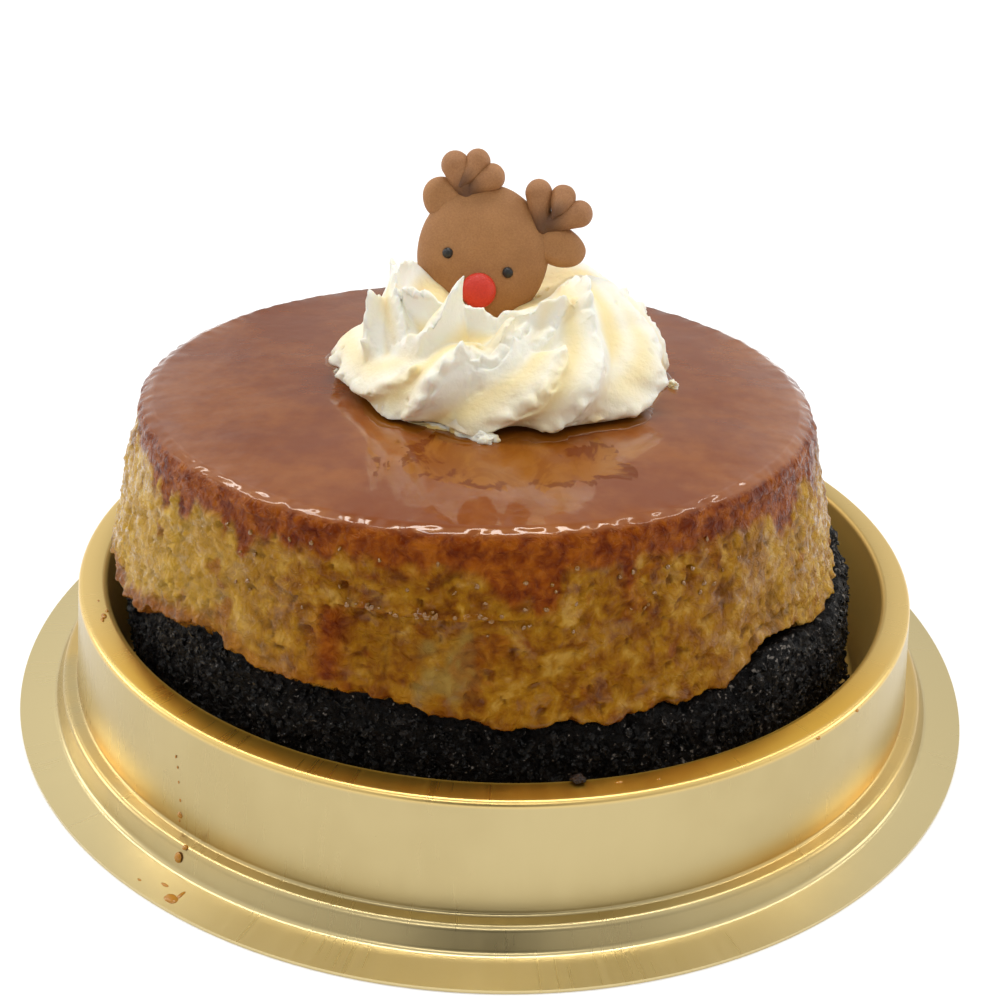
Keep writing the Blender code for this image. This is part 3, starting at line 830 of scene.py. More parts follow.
def scatterTree():
    # Bed in, crumbs out; every value that shapes the scatter is an input of the group
    tree = bpy.data.node_groups.new("scatterCrumbs", "GeometryNodeTree")
    given = {"Bed": "Geometry", "Crumb": "Object", "Density": "Float", "Smallest": "Float", "Largest": "Float",
             "Seed": "Int", "Look": "Material"}
    for name, kind in given.items():
        tree.interface.new_socket(name, in_out="INPUT", socket_type="NodeSocket" + kind)
    tree.interface.new_socket("Crumbs", in_out="OUTPUT", socket_type="NodeSocketGeometry")
    maker = Nodes(tree)
    bed, crumb, density, smallest, largest, seed, look = (maker.node("NodeGroupInput", output=name) for name in given)
    spread = maker.node("GeometryNodeDistributePointsOnFaces", None, {"Mesh": bed, "Density": density, "Seed": seed})
    shape = maker.node("GeometryNodeObjectInfo", None, {"Object": crumb}, "Geometry")
    vector = {"data_type": "FLOAT_VECTOR"}
    turn = maker.node("FunctionNodeRandomValue", vector, {"Max": (math.tau, math.tau, math.tau), "Seed": seed})
    size = maker.node("FunctionNodeRandomValue", vector, {"Min": smallest, "Max": largest, "Seed": seed})
    placed = maker.node("GeometryNodeInstanceOnPoints", None,
                        {"Points": spread, "Instance": shape, "Rotation": turn, "Scale": size})
    real = maker.node("GeometryNodeRealizeInstances", None, [placed])
    dressed = maker.node("GeometryNodeSetMaterial", None, {"Geometry": real, "Material": look})
    maker.feed(tree.nodes.new("NodeGroupOutput").inputs["Crumbs"], dressed)
    return tree


def scatter(tree, name, rings, crumb, settings, finish, allRound=True):
    # Scatters over the open band between the rings once and keeps the result as a plain mesh
    count = len(rings[0])
    faces = gridFaces(len(rings), count, closedEnds=False)
    if not allRound:
        faces = [face for index, face in enumerate(faces) if (index + 1) % count]
    mesh = bpy.data.meshes.new(name + "Bed")
    mesh.from_pydata((np.concatenate(rings) * mm).tolist(), [], faces)
    bed = linked(name + "Bed", mesh)
    step = bed.modifiers.new("scatter", "NODES")
    step.node_group = tree
    sizes = {key: settings[key] * mm for key in ("Smallest", "Largest")}
    values = {"Crumb": crumb, "Look": finish, **settings, **sizes}
    for socket in tree.interface.items_tree:
        if socket.in_out == "INPUT" and socket.name in values:
            step[socket.identifier] = values[socket.name]
    graph = bpy.context.evaluated_depsgraph_get()
    mesh = bpy.data.meshes.new_from_object(bed.evaluated_get(graph), depsgraph=graph)
    mesh.name = name
    if len(crumb.data.polygons) > 20:
        mesh.shade_smooth()
    bpy.data.objects.remove(bed)
    onRoot(linked(name, mesh))


def makeCrumbs():
    # On the side except at its foot and its top, and in the gap between it and the tray
    tree = scatterTree()
    crumb = crumbShape("crumbShape", seed=141)
    angle = turns(chocolate["bedColumns"])
    rings, _, _ = chocolateRings(angle, chocolate["bedRows"])
    gap = [ringAt(angle, reach, tray["floor"] + chocolate["gapLift"]) for reach in chocolate["gapReach"]]
    for name, bed, settings in (("chocolateCrumbs", rings[3:-2], "crumbs"), ("looseCrumbs", gap, "looseCrumbs")):
        scatter(tree, name, bed, crumb, chocolate[settings], crumbLook)
    bpy.data.objects.remove(crumb)
    return tree


def makeBeads(tree, side, degrees):
    # Beads of syrup that catch the light on the baked side
    bead = crumbShape("beadShape", seed=143, divisions=3, rough=0.45)
    finish = syrupFinish("syrupBead", flan["beadTone"], coat=1.0)
    first, last = flan["beadRows"]
    front = side[first:last, (degrees > flan["beadFront"][0]) & (degrees < flan["beadFront"][1])]
    near = np.flatnonzero((degrees > flan["ledgeFrom"]) & (degrees < flan["ledgeTo"]))
    row = (side[:, near, 2] < flan["ledgeHeight"] + 0.2).sum(axis=0)
    strip = [side[row + step, near] for step in range(4)]
    for name, bed, settings in (("syrupBeads", front, "beads"), ("ledgeBeads", strip, "ledgeBeads")):
        scatter(tree, name, bed, bead, flan[settings], finish, allRound=False)
    bpy.data.objects.remove(bead)


def syrupFinish(name, colour, coat=0.3):
    finish = Finish(name)
    ripple = finish.bumped(finish.noise(finish.place(), 0.003, 2.0), 0.0002, 0.5)
    return finish.surface(baseColor=colour, roughness=0.12, normal=ripple, specularIorLevel=0.4, coatWeight=coat,
                          coatRoughness=0.03)


flanSide, flanDegrees = makeFlan()
makeChocolate()
makeBeads(makeCrumbs(), flanSide, flanDegrees)
print("baked layers made")


# Smooth curves through a few points

def curvePoints(points, count):
    points = np.array(points, dtype=float)
    padded = np.concatenate([2.0 * points[:1] - points[1:2], points, 2.0 * points[-1:] - points[-2:-1]])
    along = np.linspace(0.0, len(points) - 1.0, count)
    first = np.minimum(along.astype(int), len(points) - 2)
    part = (along - first)[:, None]
    before, start, after, beyond = (padded[first + step] for step in range(4))
    squared = (2.0 * before - 5.0 * start + 4.0 * after - beyond) * part ** 2
    cubed = (3.0 * start - before - 3.0 * after + beyond) * part ** 3
    return 0.5 * (2.0 * start + (after - before) * part + squared + cubed)


def evenCurve(points, count):
    # The same curve with its points at even distances, and its length
    curve = curvePoints(points, 40 * len(points))
    length = np.concatenate([[0.0], np.cumsum(np.linalg.norm(np.diff(curve, axis=0), axis=1))])
    steps = np.linspace(0.0, length[-1], count)
    return np.stack([np.interp(steps, length, column) for column in curve.T], axis=1), length[-1]


# Whipped cream: a mound with a torn crest along each line, every line in degrees round it, mm up it and mm of depth

cream = {
    "base": 62.6,
    "columns": 500,
    "rows": 190,
    "valley": ((25.5, 0.0), (27.9, 0.5), (28.4, 2.5), (28.0, 6.0), (26.4, 10.0), (24.0, 14.0), (21.0, 17.5),
               (17.5, 19.4), (14.0, 19.4), (10.5, 17.6), (6.0, 15.8), (0.0, 14.8)),       # radius and height
    "spread": 28.0,                         # mean radius, on which distances round it are measured
    "sharpness": 1.45,
    "dip": 0.23,                            # share by which the top sinks at the front
    "dipPlace": -100.0,
    "dipSpread": 46.0,
    "lean": 1.5,
    "ragged": 1.0,
    "stains": ((-176.0, 7.0), (-112.0, 9.0), (-58.0, 6.0), (-3.0, 8.0)),    # syrup on the foot, in degrees
    "tone": (0.865, 0.855, 0.765),
    "foldTone": (0.86, 0.660, 0.220),
    "stainTone": (0.78, 0.47, 0.10),
    "upright": 0.72,                        # how far the upper crests turn from outwards to upwards
    "drawnIn": (2.2, -82.0, 13.0),          # the foot at the front: depth, place and spread
}
creamCrests = (                             # width below and above it, then the line
    (10.0, 9.0, ((-147, 0.5, 3.0), (-138, 1.6, 5.0), (-125, 4.4, 6.0), (-119, 6.8, 6.2), (-114, 9.2, 6.4),
                 (-108, 12.2, 6.6), (-102, 13.6, 6.4), (-96, 13.2, 4.6), (-92, 14.8, 4.6), (-87, 18.5, 4.0),
                 (-80, 22.5, 3.0))),
    (8.0, 9.0, ((-110, 0.6, 4.0), (-99, 4.0, 5.6), (-93, 5.6, 5.6), (-87, 7.0, 5.8), (-80, 8.6, 6.0), (-74, 11.0, 6.2),
                (-70, 13.2, 5.6), (-68, 15.0, 2.5))),
    (9.0, 10.0, ((-84, 1.5, 2.6), (-78, 4.0, 4.8), (-71, 6.2, 6.2), (-66, 8.2, 6.8), (-61, 10.4, 7.0),
                 (-57, 12.8, 7.0), (-55, 15.4, 7.0), (-54, 18.2, 7.0), (-51, 21.5, 6.6), (-46, 25.0, 6.0),
                 (-36, 29.0, 3.0))),
    (6.5, 7.0, ((-76, 16.0, 1.5), (-72, 18.6, 3.6), (-66, 21.6, 4.0), (-58, 24.5, 2.0))),
    (3.2, 3.4, ((-80, 1.2, 1.5), (-66, 2.4, 3.0), (-55, 2.7, 3.6), (-44, 3.0, 4.4), (-37, 3.4, 3.6), (-33, 4.0, 2.0))),
    (6.0, 9.0, ((-62, 4.8, 2.0), (-50, 5.2, 4.6), (-39, 5.6, 6.0), (-31, 7.0, 6.4), (-24, 9.0, 6.0), (-19, 11.4, 5.6),
                (-15, 14.4, 4.4), (-10, 18.4, 3.4), (-2, 22.6, 2.2), (8, 26.0, 1.0))),
    (8.0, 9.0, ((-6, 0.6, 5.0), (0, 1.4, 7.0), (4, 4.5, 6.4), (9, 8.4, 5.2), (15, 12.4, 3.8), (24, 17.0, 2.8),
                (36, 21.5, 2.2), (50, 25.5, 1.2))),
    (9.0, 9.5, ((30, 0.6, 4.0), (36, 3.2, 6.0), (46, 7.6, 6.0), (56, 11.8, 5.2), (68, 16.4, 4.2),
                (82, 21.4, 3.2), (98, 26.0, 1.6))),
    (9.0, 9.5, ((74, 0.6, 4.0), (80, 3.2, 6.0), (90, 7.6, 6.6), (100, 11.8, 6.6), (112, 16.4, 5.4),
                (126, 21.4, 3.8), (142, 26.0, 1.6))),
    (9.0, 9.5, ((116, 0.6, 4.0), (122, 3.2, 6.0), (131, 7.6, 6.4), (140, 11.8, 6.4),
                (151, 16.4, 5.4), (164, 21.4, 4.0), (178, 26.0, 1.6))),
    (6.0, 7.0, ((153, 0.8, 7.0), (158, 2.4, 8.6), (172, 5.0, 6.6), (186, 6.6, 6.0), (200, 6.6, 5.6), (216, 6.2, 5.4),
                (226, 7.6, 5.2), (236, 9.8, 4.0), (242, 12.0, 1.5))),
    (5.6, 5.2, ((214, 7.4, 2.0), (210, 10.2, 4.6), (206, 13.0, 6.6), (203, 15.0, 7.4))),
    (6.0, 6.0, ((226, 14.0, 2.0), (219, 16.4, 5.0), (208, 18.6, 6.4), (196, 21.4, 6.6), (184, 24.0, 5.4))),
    (4.6, 4.2, ((230, 10.6, 1.2), (235, 14.0, 4.2), (239, 18.0, 7.6), (242, 21.5, 10.4), (243, 23.5, 11.6))),
    (3.8, 3.8, ((212, 19.0, 5.0), (220, 21.0, 7.6), (228, 22.5, 7.6), (236, 24.0, 6.0), (250, 25.6, 5.4),
                (258, 26.3, 4.0), (265, 26.4, 2.2), (270, 26.2, 3.8), (278, 25.5, 4.4), (286, 24.5, 6.4),
                (294, 23.5, 7.8), (303, 23.0, 7.6))),
    (3.0, 3.0, ((262, 14.5, 2.0), (266, 17.5, 4.6), (269, 20.5, 6.0), (271, 22.5, 5.6))),
    (4.0, 4.5, ((238, 14.6, 2.0), (231, 13.6, 3.6), (224, 12.8, 2.0))),
)


def crestField(around, climb):
    # Height of the crests over the mound, the way they lean and where shade is painted beside them, from the distance
    # to each crest line
    full = math.tau * cream["spread"]
    height, share, leanAround, leanUp, hollow = (np.zeros(around.shape) for _ in range(5))
    for below, above, points in creamCrests:
        line = curvePoints(points, 26)
        bearing = np.radians(line[:, 0]) * cream["spread"]
        best = np.full(around.shape, 1e6)
        side, depth, pushAround, pushUp = (np.zeros(around.shape) for _ in range(4))
        for index in range(len(line) - 1):
            stepAround, stepUp = bearing[index + 1] - bearing[index], line[index + 1, 1] - line[index, 1]
            fromAround = (around - bearing[index] + full / 2.0) % full - full / 2.0
            fromUp = climb - line[index, 1]
            part = np.clip((fromAround * stepAround + fromUp * stepUp) / (stepAround ** 2 + stepUp ** 2), 0.0, 1.0)
            away = np.hypot(fromAround - part * stepAround, fromUp - part * stepUp)
            nearer = away < best
            best = np.where(nearer, away, best)
            side = np.where(nearer, fromAround * stepUp - fromUp * stepAround, side)
            depth = np.where(nearer, line[index, 2] + (line[index + 1, 2] - line[index, 2]) * part, depth)
            reach = math.hypot(stepAround, stepUp)
            pushAround = np.where(nearer, stepUp / reach, pushAround)
            pushUp = np.where(nearer, -stepAround / reach, pushUp)
        width = np.where(side > 0.0, below, above)
        rounded = np.sqrt(best ** 2 + 0.09) - 0.3
        rise = np.clip(1.0 - rounded / width, 0.0, 1.0) ** cream["sharpness"]
        height += (depth * rise) ** 4
        share = np.maximum(share, rise * np.clip(depth / 3.0, 0.0, 1.0))
        leanAround += pushAround * rise ** 3 * depth / 6.0
        leanUp += pushUp * rise ** 3 * depth / 6.0
        # hollow: painted shade along the inner side of each crest
        beside = np.exp(-((best / above - 0.34) / 0.2) ** 2) * np.clip(depth / 5.0 - 0.3, 0.0, 1.0)
        hollow = np.maximum(hollow, np.where(side < 0.0, beside, 0.0))
    return height ** 0.25, share, leanAround, leanUp, hollow


def creamFinish():
    finish = Finish("whippedCream")
    spot = finish.place()
    fold = finish.attribute("fold")
    syrup = finish.attribute("syrup")
    # Painted shade: folds, the inner side of crests and the lower front turn a deeper yellow
    tone = finish.blend(fold * 0.9, cream["tone"], cream["foldTone"])
    tinted = finish.blend(syrup, tone, cream["stainTone"])
    bumpy = finish.bumped(finish.noise(spot, 0.0007, 3.0), 0.00025, 0.6)
    return finish.surface(baseColor=tinted, roughness=0.48, normal=bumpy, subsurfaceWeight=0.30,
                          subsurfaceRadius=(1.0, 0.75, 0.42), subsurfaceScale=0.0022)


creamLook = creamFinish()


def makeCream():
    valley, length = evenCurve(cream["valley"], cream["rows"])
    angle = turns(cream["columns"])
    along = np.gradient(valley, axis=0)
    along /= np.linalg.norm(along, axis=1, keepdims=True)
    climb, turn = np.meshgrid(np.linspace(0.0, length, cream["rows"]), angle, indexing="ij")
    height, share, leanAround, leanUp, hollow = crestField(turn * cream["spread"], climb)
    degrees = np.degrees(turn)
    dip = 1.0 - cream["dip"] * smooth(climb, 9.0, 24.0) * bump(degrees, cream["dipPlace"], cream["dipSpread"])
    depth, centre, spread = cream["drawnIn"]
    radius = valley[:, 0, None] - depth * bump(degrees, centre, spread) * (1.0 - smooth(climb, 3.0, 11.0))
    up = valley[:, 1, None] * dip
    outward = along[:, 1, None] * (1.0 - cream["upright"] * smooth(climb[:, :1], 7.0, 17.0))
    lift = np.sqrt(1.0 - outward ** 2)
    raw = ringAt(turn, radius + height, up + height * lift)
    crest = smooth(share, 0.82, 1.0)
    torn = cream["ragged"] * (0.25 + 0.75 * smooth(softNoise(raw, 7.0, 209), -0.5, 0.4))
    torn = torn * (0.4 + 0.6 * smooth(climb, 5.0, 14.0))
    height = height * (1.0 + 0.20 * softNoise(raw, 4.5, 211) * smooth(share, 0.2, 0.8))
    height += torn * crest * (2.2 * softNoise(raw, 2.2, 213) + 1.2 * softNoise(raw, 1.0, 217))
    near, _, owner = cellNoise(warped(raw, 2.0, 0.6, 221), 2.3, 219)
    height -= 0.7 * smooth(owner, 0.62, 0.8) * smooth(0.40 - near, 0.0, 0.24)
    height += 0.20 * layeredNoise(raw, 4.0, 223, 2) + 0.05 * softNoise(raw, 0.8, 227)
    settle = smooth(climb, 0.0, 1.5) * (1.0 - smooth(climb, length - 6.0, length - 1.0))
    height *= settle
    lean = cream["lean"] * settle
    leanAround = leanAround * lean + 0.35 * crest * softNoise(raw, 1.2, 229)
    leanUp = leanUp * lean + 0.35 * crest * softNoise(raw, 1.2, 233)
    fullRadius = radius + height * outward + leanUp * along[:, 0, None]
    level = up + height * lift + leanUp * along[:, 1, None]
    x = fullRadius * np.cos(turn) - leanAround * np.sin(turn)
    y = fullRadius * np.sin(turn) + leanAround * np.cos(turn)
    z = cream["base"] + np.maximum(level, 0.0)
    # Painted shade in valleys, beside crests and low on the front
    fold = (1.0 - smooth(share, 0.0, 0.45)) * smooth(climb, 0.5, 3.0) + 0.5 * hollow
    shade = np.exp(-np.maximum(level, 0.0) / 8.0) * bump(degrees, -95.0, 55.0)
    fold = np.minimum(0.8 * fold + 0.3 * hollow + 0.4 * shade, 1.0)
    foot = np.exp(-level / 1.6) * smooth(layeredNoise(raw, 6.0, 239), -0.1, 0.5)
    for centre, spread in cream["stains"]:
        stain = np.exp(-(level / 4.0) ** 2) * bump(degrees, centre, spread) * (0.75 + 0.5 * softNoise(raw, 2.0, 241))
        foot = np.maximum(foot, stain)
    foot = np.clip(foot, 0.0, 1.0)
    rings = np.stack([x, y, z], axis=-1)[:-1]
    low, high = (0.0, 0.0, cream["base"]), (0.0, 0.0, cream["base"] + cream["valley"][-1][1] - 0.2)
    masks = {"fold": fold, "syrup": 0.8 * foot}
    values = {name: np.append(value[:-1].ravel(), (0.0, 0.0)) for name, value in masks.items()}
    turnedPiece("whippedCream", rings, low, high, creamLook, ["whipped_cream"], values)
    return np.where(z < cream["base"] + 1.6, np.hypot(x, y), 0.0).max(axis=0)


creamFoot = makeCream()
print("cream made")


# Small things: syrup round the cream, bits of cream beside it, drops on the tray and one crumb on its rim

small = {
    "syrupSpread": 0.7,                     # mm beyond the cream, and more toward the front left
    "syrupMore": 1.7,
    "syrupProfile": (                       # inwards from its edge and upwards
        (0.0, -0.10), (0.0, 0.02), (0.3, 0.12), (0.8, 0.24), (1.5, 0.33), (2.6, 0.36), (12.0, 0.36),
    ),
    "syrupScale": 0.32 / 0.45,              # of the upwards numbers
    "syrupTone": (0.20, 0.060, 0.004),
    "dropTone": (0.45, 0.19, 0.015),
    "bits": (                               # x, y, half long, half wide, height and turn in degrees
        (-4.9, -31.6, 4.3, 2.1, 2.2, -38.0), (-2.4, -33.4, 2.2, 1.7, 1.7, -30.0), (-7.8, -29.6, 2.3, 1.9, 2.6, -50.0),
        (-11.8, -28.6, 4.4, 0.8, 0.9, -22.0), (-33.4, 1.9, 1.3, 1.0, 1.2, 60.0), (-33.0, -2.6, 0.8, 0.6, 0.7, 10.0),
        (34.3, -3.6, 1.4, 0.9, 1.1, -70.0),
    ),
    # degrees round, radius, height, lean outwards, half across, half along and depth
    "drops": (
        (-153.3, 82.4, 25.3, 0, 0.9, 0.5, 0.35), (-154.5, 81.6, 25.3, 0, 0.5, 0.3, 0.2),
        (-152.5, 82.9, 25.3, 0, 0.7, 0.35, 0.25), (-157.5, 82.6, 25.3, 0, 0.35, 0.2, 0.15),
        (-126.5, 87.8, 10.4, 83, 0.25, 0.35, 0.12), (-126.5, 88.15, 7.4, 83, 0.55, 0.6, 0.35),
        (-126.6, 88.3, 6.2, 83, 0.25, 0.3, 0.15), (-127.3, 86.9, 18.5, 83, 0.2, 0.3, 0.1),
        (-127.0, 87.1, 16.6, 83, 0.2, 0.25, 0.1), (-126.8, 87.4, 13.8, 83, 0.2, 0.3, 0.1),
        (-124.2, 92.2, 2.9, 65, 0.8, 0.9, 0.4), (-123.8, 91.0, 4.6, 10, 0.5, 0.5, 0.3),
        (-121.6, 98.0, 0.70, 0, 1.3, 0.9, 0.35), (-121.2, 96.6, 0.70, 0, 0.35, 1.0, 0.2),
        (-123.5, 96.4, 0.70, 0, 0.8, 0.3, 0.15), (-126.0, 98.2, 0.70, 0, 0.5, 0.2, 0.1),
        (-75.5, 82.6, 25.3, 0, 0.6, 0.35, 0.2), (-71.0, 83.4, 25.3, 0, 0.3, 0.2, 0.1),
        (-49.9, 86.1, 24.6, 45, 0.5, 0.3, 0.2), (-42.0, 86.1, 24.6, 45, 0.4, 0.3, 0.2),
    ),
    "crumb": (-80.0, 81.4, 25.7, 1.2, 0.8, 0.75),       # degrees round, radius, height and half sizes
    "crumbTones": ((0.02, 0.008, 0.003), (0.10, 0.045, 0.014)),
}


def unitNugget(columns, rows):
    # Sphere of radius 1 as rings that run round upwards
    turn = turns(columns)
    rise = np.linspace(-math.pi / 2.0, math.pi / 2.0, rows + 2)[1:-1, None]
    x, y = np.cos(turn) * np.cos(rise), np.sin(turn) * np.cos(rise)
    shape = np.stack(np.broadcast_arrays(x, y, np.sin(rise)), axis=-1).reshape(-1, 3)
    return np.concatenate([shape, [(0.0, 0.0, -1.0), (0.0, 0.0, 1.0)]]), gridFaces(rows, columns)


def lump(middle, half, axes, rough, columns, rows):
    # Flat-bottomed lump on the plane through middle; axes are its three directions
    shape, faces = unitNugget(columns, rows)
    shape = shape * (1.0 + rough * layeredNoise(shape + middle, 0.7, 401, 3))[:, None] * half
    shape[:, 2] = np.maximum(shape[:, 2], -0.12 * half[2])
    return shape @ np.array(axes) + middle, faces


def joined(parts):
    points, faces, count = [], [], 0
    for part, partFaces in parts:
        points.append(part)
        faces += [[corner + count for corner in one] for one in partFaces]
        count += len(part)
    return np.concatenate(points), faces


def makeSyrup(creamFoot):
    angle = turns(cream["columns"])
    around = ringAt(angle, 1.0, 0.0)
    wide = bump(np.degrees(angle), -112.0, 38.0)
    steady = np.array([creamFoot[np.arange(index - 6, index + 7) % len(angle)].max() for index in range(len(angle))])
    edge = steady + small["syrupSpread"] * (1.0 + softNoise(around, 0.16, 411)) + small["syrupMore"] * wide * (
        0.6 + 0.6 * layeredNoise(around, 0.10, 413, 2))
    edge = np.maximum(edge, steady - 0.4)
    rings = []
    for inward, rise in small["syrupProfile"]:
        rings.append(ringAt(angle, edge - inward, cake["flanTop"] + rise * small["syrupScale"]))
    low, high = (0.0, 0.0, cake["flanTop"] - 0.1), (0.0, 0.0, cake["flanTop"] + 0.4)
    turnedPiece("syrupPool", rings, low, high, syrupFinish("syrup", small["syrupTone"]))


def makeSmallThings():
    upright = np.array((0.0, 0.0, 1.0))
    parts = []
    for x, y, halfLong, halfWide, rise, degrees in small["bits"]:
        along = ringAt(math.radians(degrees), 1.0, 0.0)
        axes = (along, np.cross(upright, along), upright)
        parts.append(lump((x, y, cake["flanTop"] + 0.1), (halfLong, halfWide, rise), axes, 0.30, columns=64, rows=40))
    points, faces = joined(parts)
    tint = smooth(layeredNoise(points, 2.0, 421), -0.2, 0.7) * 0.7
    # fold paints some shade over the bits too, more where syrup tints them
    meshPiece("creamBits", points * mm, faces, creamLook, attributes={"syrup": tint, "fold": tint + 0.25})
    parts = []
    for degrees, radius, level, lean, halfAcross, halfAlong, depth in small["drops"]:
        turn, tilt = math.radians(degrees), math.radians(lean)
        outward = ringAt(turn, 1.0, 0.0)
        normal = outward * math.sin(tilt) + upright * math.cos(tilt)
        slope = upright * math.sin(tilt) - outward * math.cos(tilt)
        tangent = np.cross(upright, outward)
        middle = ringAt(turn, radius, level)
        parts.append(lump(middle, (halfAcross, halfAlong, depth), (tangent, slope, normal), 0.10, columns=28, rows=14))
    points, faces = joined(parts)
    meshPiece("syrupDrops", points * mm, faces, syrupFinish("syrupDrop", small["dropTone"]))
    degrees, radius, level, *half = small["crumb"]
    points, faces = lump(ringAt(math.radians(degrees), radius, level), half, np.identity(3), 0.55, columns=40, rows=24)
    wetCrumb = chocolateFinish("wetCrumb", small["crumbTones"], roughness=0.12, specular=0.5)
    meshPiece("rimCrumb", points * mm, faces, wetCrumb)


makeSyrup(creamFoot)
makeSmallThings()
print("syrup and bits made")


# Sugar topper: a reindeer head of piped icing. Places are mm across the face, out of it and up it.

topper = {
    "place": (-4.6, 2.6, 86.5),
    "lean": -14.0,                          # degrees
    "roll": 15.8,
    "head": (12.9, 4.4, 13.3),              # half sizes
    "headBack": 2.6,
    "headFull": 0.75,
    "pipedFull": 0.8,
    "eyes": {"Left": (-6.5, -1.7), "Right": (5.6, -1.7)},       # across and up
    "eye": (1.05, 0.84, 1.05),
    "nosePlace": (1.3, -6.7),
    "nose": (3.4, 2.04, 3.4),
    # across, up, half long, half wide and turn
    "ears": {"Left": (-10.2, 7.7, 4.6, 4.0, 25.0), "Right": (13.3, 6.0, 5.8, 3.9, 4.0)},
    "earDepth": 2.6,
    "faceTones": ((0.41, 0.190, 0.062), (0.325, 0.142, 0.043)),
    "antlerTones": ((0.40, 0.185, 0.068), (0.30, 0.130, 0.044)),
    "antlerRootShade": (0.115, 0.045, 0.014),
    "noseTones": ((0.66, 0.036, 0.012), (0.56, 0.022, 0.007)),
    "eyeTones": ((0.010, 0.009, 0.008), (0.006, 0.005, 0.005)),
    "antlers": {                            # lobes from root to tip: across, out, up and radius
        "Left": (((-6.3, 1.2, 10.2, 1.7), (-8.2, 1.4, 12.2, 2.3), (-10.1, 1.4, 14.4, 2.75)),
                 ((-8.0, 3.3, 11.0, 0.35), (-7.4, 3.0, 12.6, 1.2), (-6.7, 2.2, 14.4, 1.9), (-6.2, 1.5, 16.3, 2.45)),
                 ((-6.2, 1.2, 10.8, 1.7), (-4.6, 1.6, 12.8, 2.2), (-2.8, 1.5, 14.4, 2.6))),
        "Right": (((9.2, 1.2, 8.6, 1.7), (7.9, 1.4, 11.6, 2.2), (6.7, 1.4, 14.4, 2.6)),
                  ((10.6, 4.0, 11.0, 0.4), (11.0, 3.6, 12.3, 1.3), (11.3, 2.6, 13.6, 2.1), (11.4, 1.6, 14.9, 2.5)),
                  ((10.0, 1.2, 9.4, 1.8), (12.9, 1.5, 11.4, 2.3), (15.4, 1.5, 13.0, 2.6))),
    },
}
topperTurn = Euler((math.radians(topper["lean"]), math.radians(topper["roll"]), 0.0), "YXZ").to_matrix()


def onTopper(points):
    # From mm across, out and up to metres in the shared frame
    turned = np.asarray(points) * (1.0, -1.0, 1.0) @ np.array(topperTurn).T
    return (turned + topper["place"]) * mm


def pipedDrop(middle, half, full, back=1.0, turnDegrees=0.0, columns=96, rows=60, dent=0.0):
    # A flat drop of icing, plump up to its edge
    unit, faces = unitNugget(columns, rows)
    unit = unit * (1.0, -1.0, 1.0)          # out is the reverse of Y
    level = np.maximum(np.hypot(unit[:, 0], unit[:, 2]), 0.002)
    plump = level ** (full - 1.0)
    out = unit[:, 1] * np.where(unit[:, 1] < 0.0, back, 1.0)
    shape = np.stack([unit[:, 0] * plump, out, unit[:, 2] * plump], axis=-1)
    shape[:, 1] -= dent * np.exp(-(level / 0.45) ** 2) * (unit[:, 1] > 0.0)
    shape = shape * half
    turn = math.radians(turnDegrees)
    across = shape[:, 0] * math.cos(turn) + shape[:, 2] * math.sin(turn)
    up = shape[:, 2] * math.cos(turn) - shape[:, 0] * math.sin(turn)
    return np.stack([across + middle[0], shape[:, 1] + middle[1], up + middle[2]], axis=-1), faces


def sweptLobe(path, columns=40, rows=30):
    # Round lobe along a path of (across, out, up, radius), closed by a dome at each end
    line = curvePoints(path, rows)
    dome = np.sin(np.linspace(0.06, 1.0, 9)[:-1] * math.pi / 2.0)
    along = np.gradient(line[:, :3], axis=0)
    along /= np.linalg.norm(along, axis=1, keepdims=True)
    rings = [(line[row, :3], along[row], line[row, 3]) for row in range(rows)]
    domes = []
    for row, way in ((0, -along[0]), (-1, along[-1])):
        start, radius = line[row, :3], line[row, 3]
        domes.append([(start + way * radius * math.sqrt(1.0 - share ** 2), along[row], radius * share)
                      for share in dome])
    rings = domes[0] + rings + domes[1][::-1]
    turn = turns(columns)[:, None]
    points = []
    for middle, way, radius in rings:
        first = np.cross(way, (0.0, 1.0, 0.0))
        first /= np.linalg.norm(first)
        second = np.cross(first, way)
        points.append(middle + radius * (np.cos(turn) * first + np.sin(turn) * second))
    tips = [line[0, :3] - along[0] * line[0, 3], line[-1, :3] + along[-1] * line[-1, 3]]
    shares = np.repeat([*np.zeros(len(dome)), *np.linspace(0.0, 1.0, rows), *np.ones(len(dome))], columns)
    return np.concatenate([*points, tips]), gridFaces(len(rings), columns), np.append(shares, (0.0, 1.0))


def sugarFinish(name, colour, darker, roughness=0.62, root=None):
    finish = Finish(name)
    spot = finish.place()
    grain = finish.noise(spot, 0.00035, 3.0, 0.7)
    cloud = finish.noise(spot, 0.006, 3.0)
    toned = finish.blend(finish.between(grain * 0.6 + cloud * 0.4, 0.35, 0.65), darker, colour)
    # Painted shade: darker toward the root, where the lobes meet the head
    if root:
        toned = finish.blend(finish.between(finish.attribute("tip"), 0.05, 0.75), root, toned)
    bumpy = finish.bumped(grain, 0.00018, 0.8)
    return finish.surface(baseColor=toned, roughness=roughness, normal=bumpy, subsurfaceWeight=0.08,
                          subsurfaceRadius=(1.0, 0.5, 0.3), subsurfaceScale=0.001)


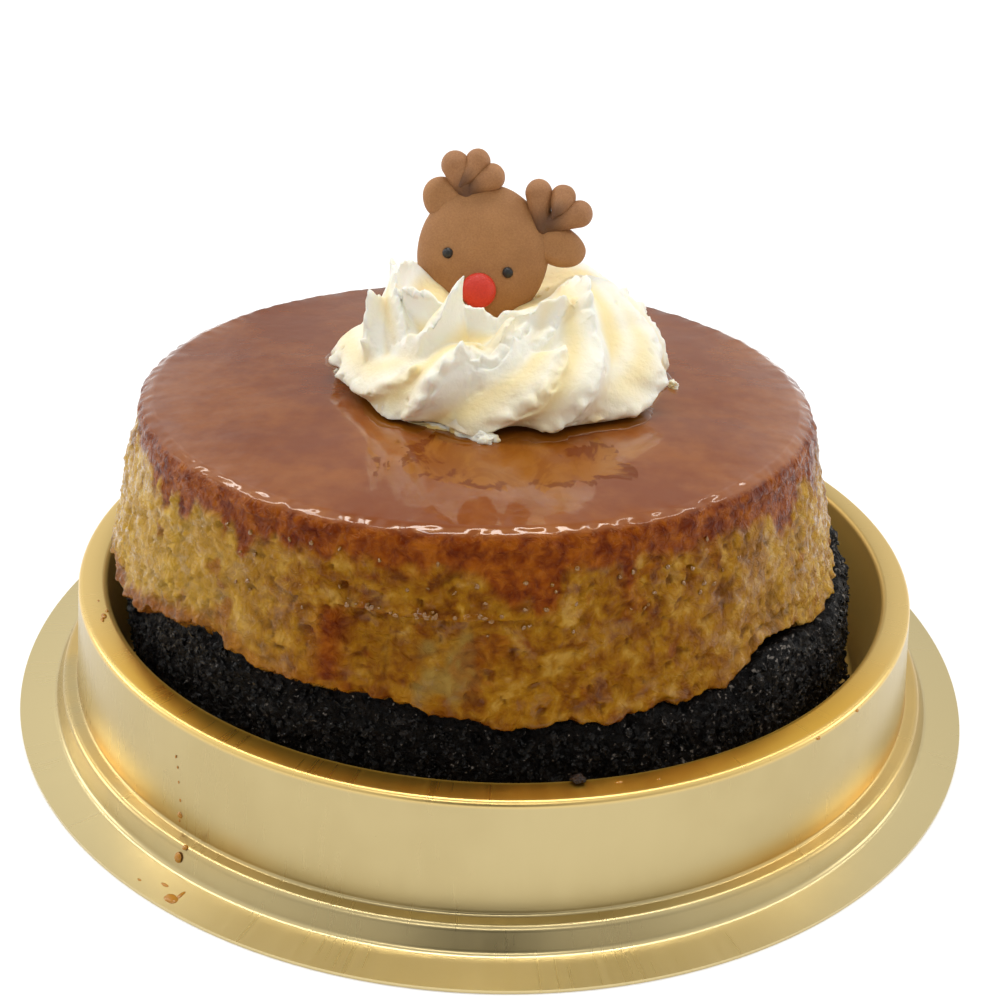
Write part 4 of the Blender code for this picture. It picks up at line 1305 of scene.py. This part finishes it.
def headDepth(across, up):
    level = math.hypot(across / topper["head"][0], up / topper["head"][2]) ** (1.0 / topper["headFull"])
    return topper["head"][1] * math.sqrt(1.0 - level ** 2)


def makeTopper():
    face = sugarFinish("brownIcing", *topper["faceTones"])
    antlerLook = sugarFinish("darkIcing", *topper["antlerTones"], root=topper["antlerRootShade"])
    red = sugarFinish("redIcing", *topper["noseTones"], roughness=0.42)
    black = sugarFinish("blackIcing", *topper["eyeTones"], roughness=0.30)

    def add(name, points, faces, finish, slotName, node, uneven=0.12, size=3.5, attributes=None):
        points = points + uneven * layeredNoise(points, size, 307, 2)[:, None] * (0.5, 1.0, 0.5)
        meshPiece(name, onTopper(points), faces, finish, [node], attributes)

    head, faces = pipedDrop((0.0, 0.0, 0.0), topper["head"], topper["headFull"],
                            topper["headBack"] / topper["head"][1], columns=220, rows=140)
    add("topperHead", head, faces, face, "brown_icing", "topper_head", uneven=0.22, size=7.0)
    for side, (across, up, halfLong, halfWide, degrees) in topper["ears"].items():
        ear, faces = pipedDrop((across, 0.0, up), (halfLong, topper["earDepth"], halfWide), topper["pipedFull"],
                               turnDegrees=degrees, dent=0.22)
        add("topperEar" + side, ear, faces, face, "brown_icing", "topper_ear_" + side.lower())
    for side, lobes in topper["antlers"].items():
        swept = [sweptLobe(lobe) for lobe in lobes]
        points, faces = joined([lobe[:2] for lobe in swept])
        tip = np.concatenate([lobe[2] for lobe in swept])
        add("topperAntler" + side, points, faces, antlerLook, "dark_icing", "topper_antler_" + side.lower(),
            uneven=0.10, size=2.5, attributes={"tip": tip})
    for side, (across, up) in topper["eyes"].items():
        eye, faces = pipedDrop((across, headDepth(across, up), up), topper["eye"], 1.0, columns=40, rows=28)
        add("topperEye" + side, eye, faces, black, "black_icing", "topper_eye_" + side.lower(), uneven=0.03, size=1.0)
    across, up = topper["nosePlace"]
    nose, faces = pipedDrop((across, headDepth(across, up), up), topper["nose"], topper["pipedFull"])
    add("topperNose", nose, faces, red, "red_icing", "topper_nose", uneven=0.08, size=3.0)


makeTopper()
print("topper made")
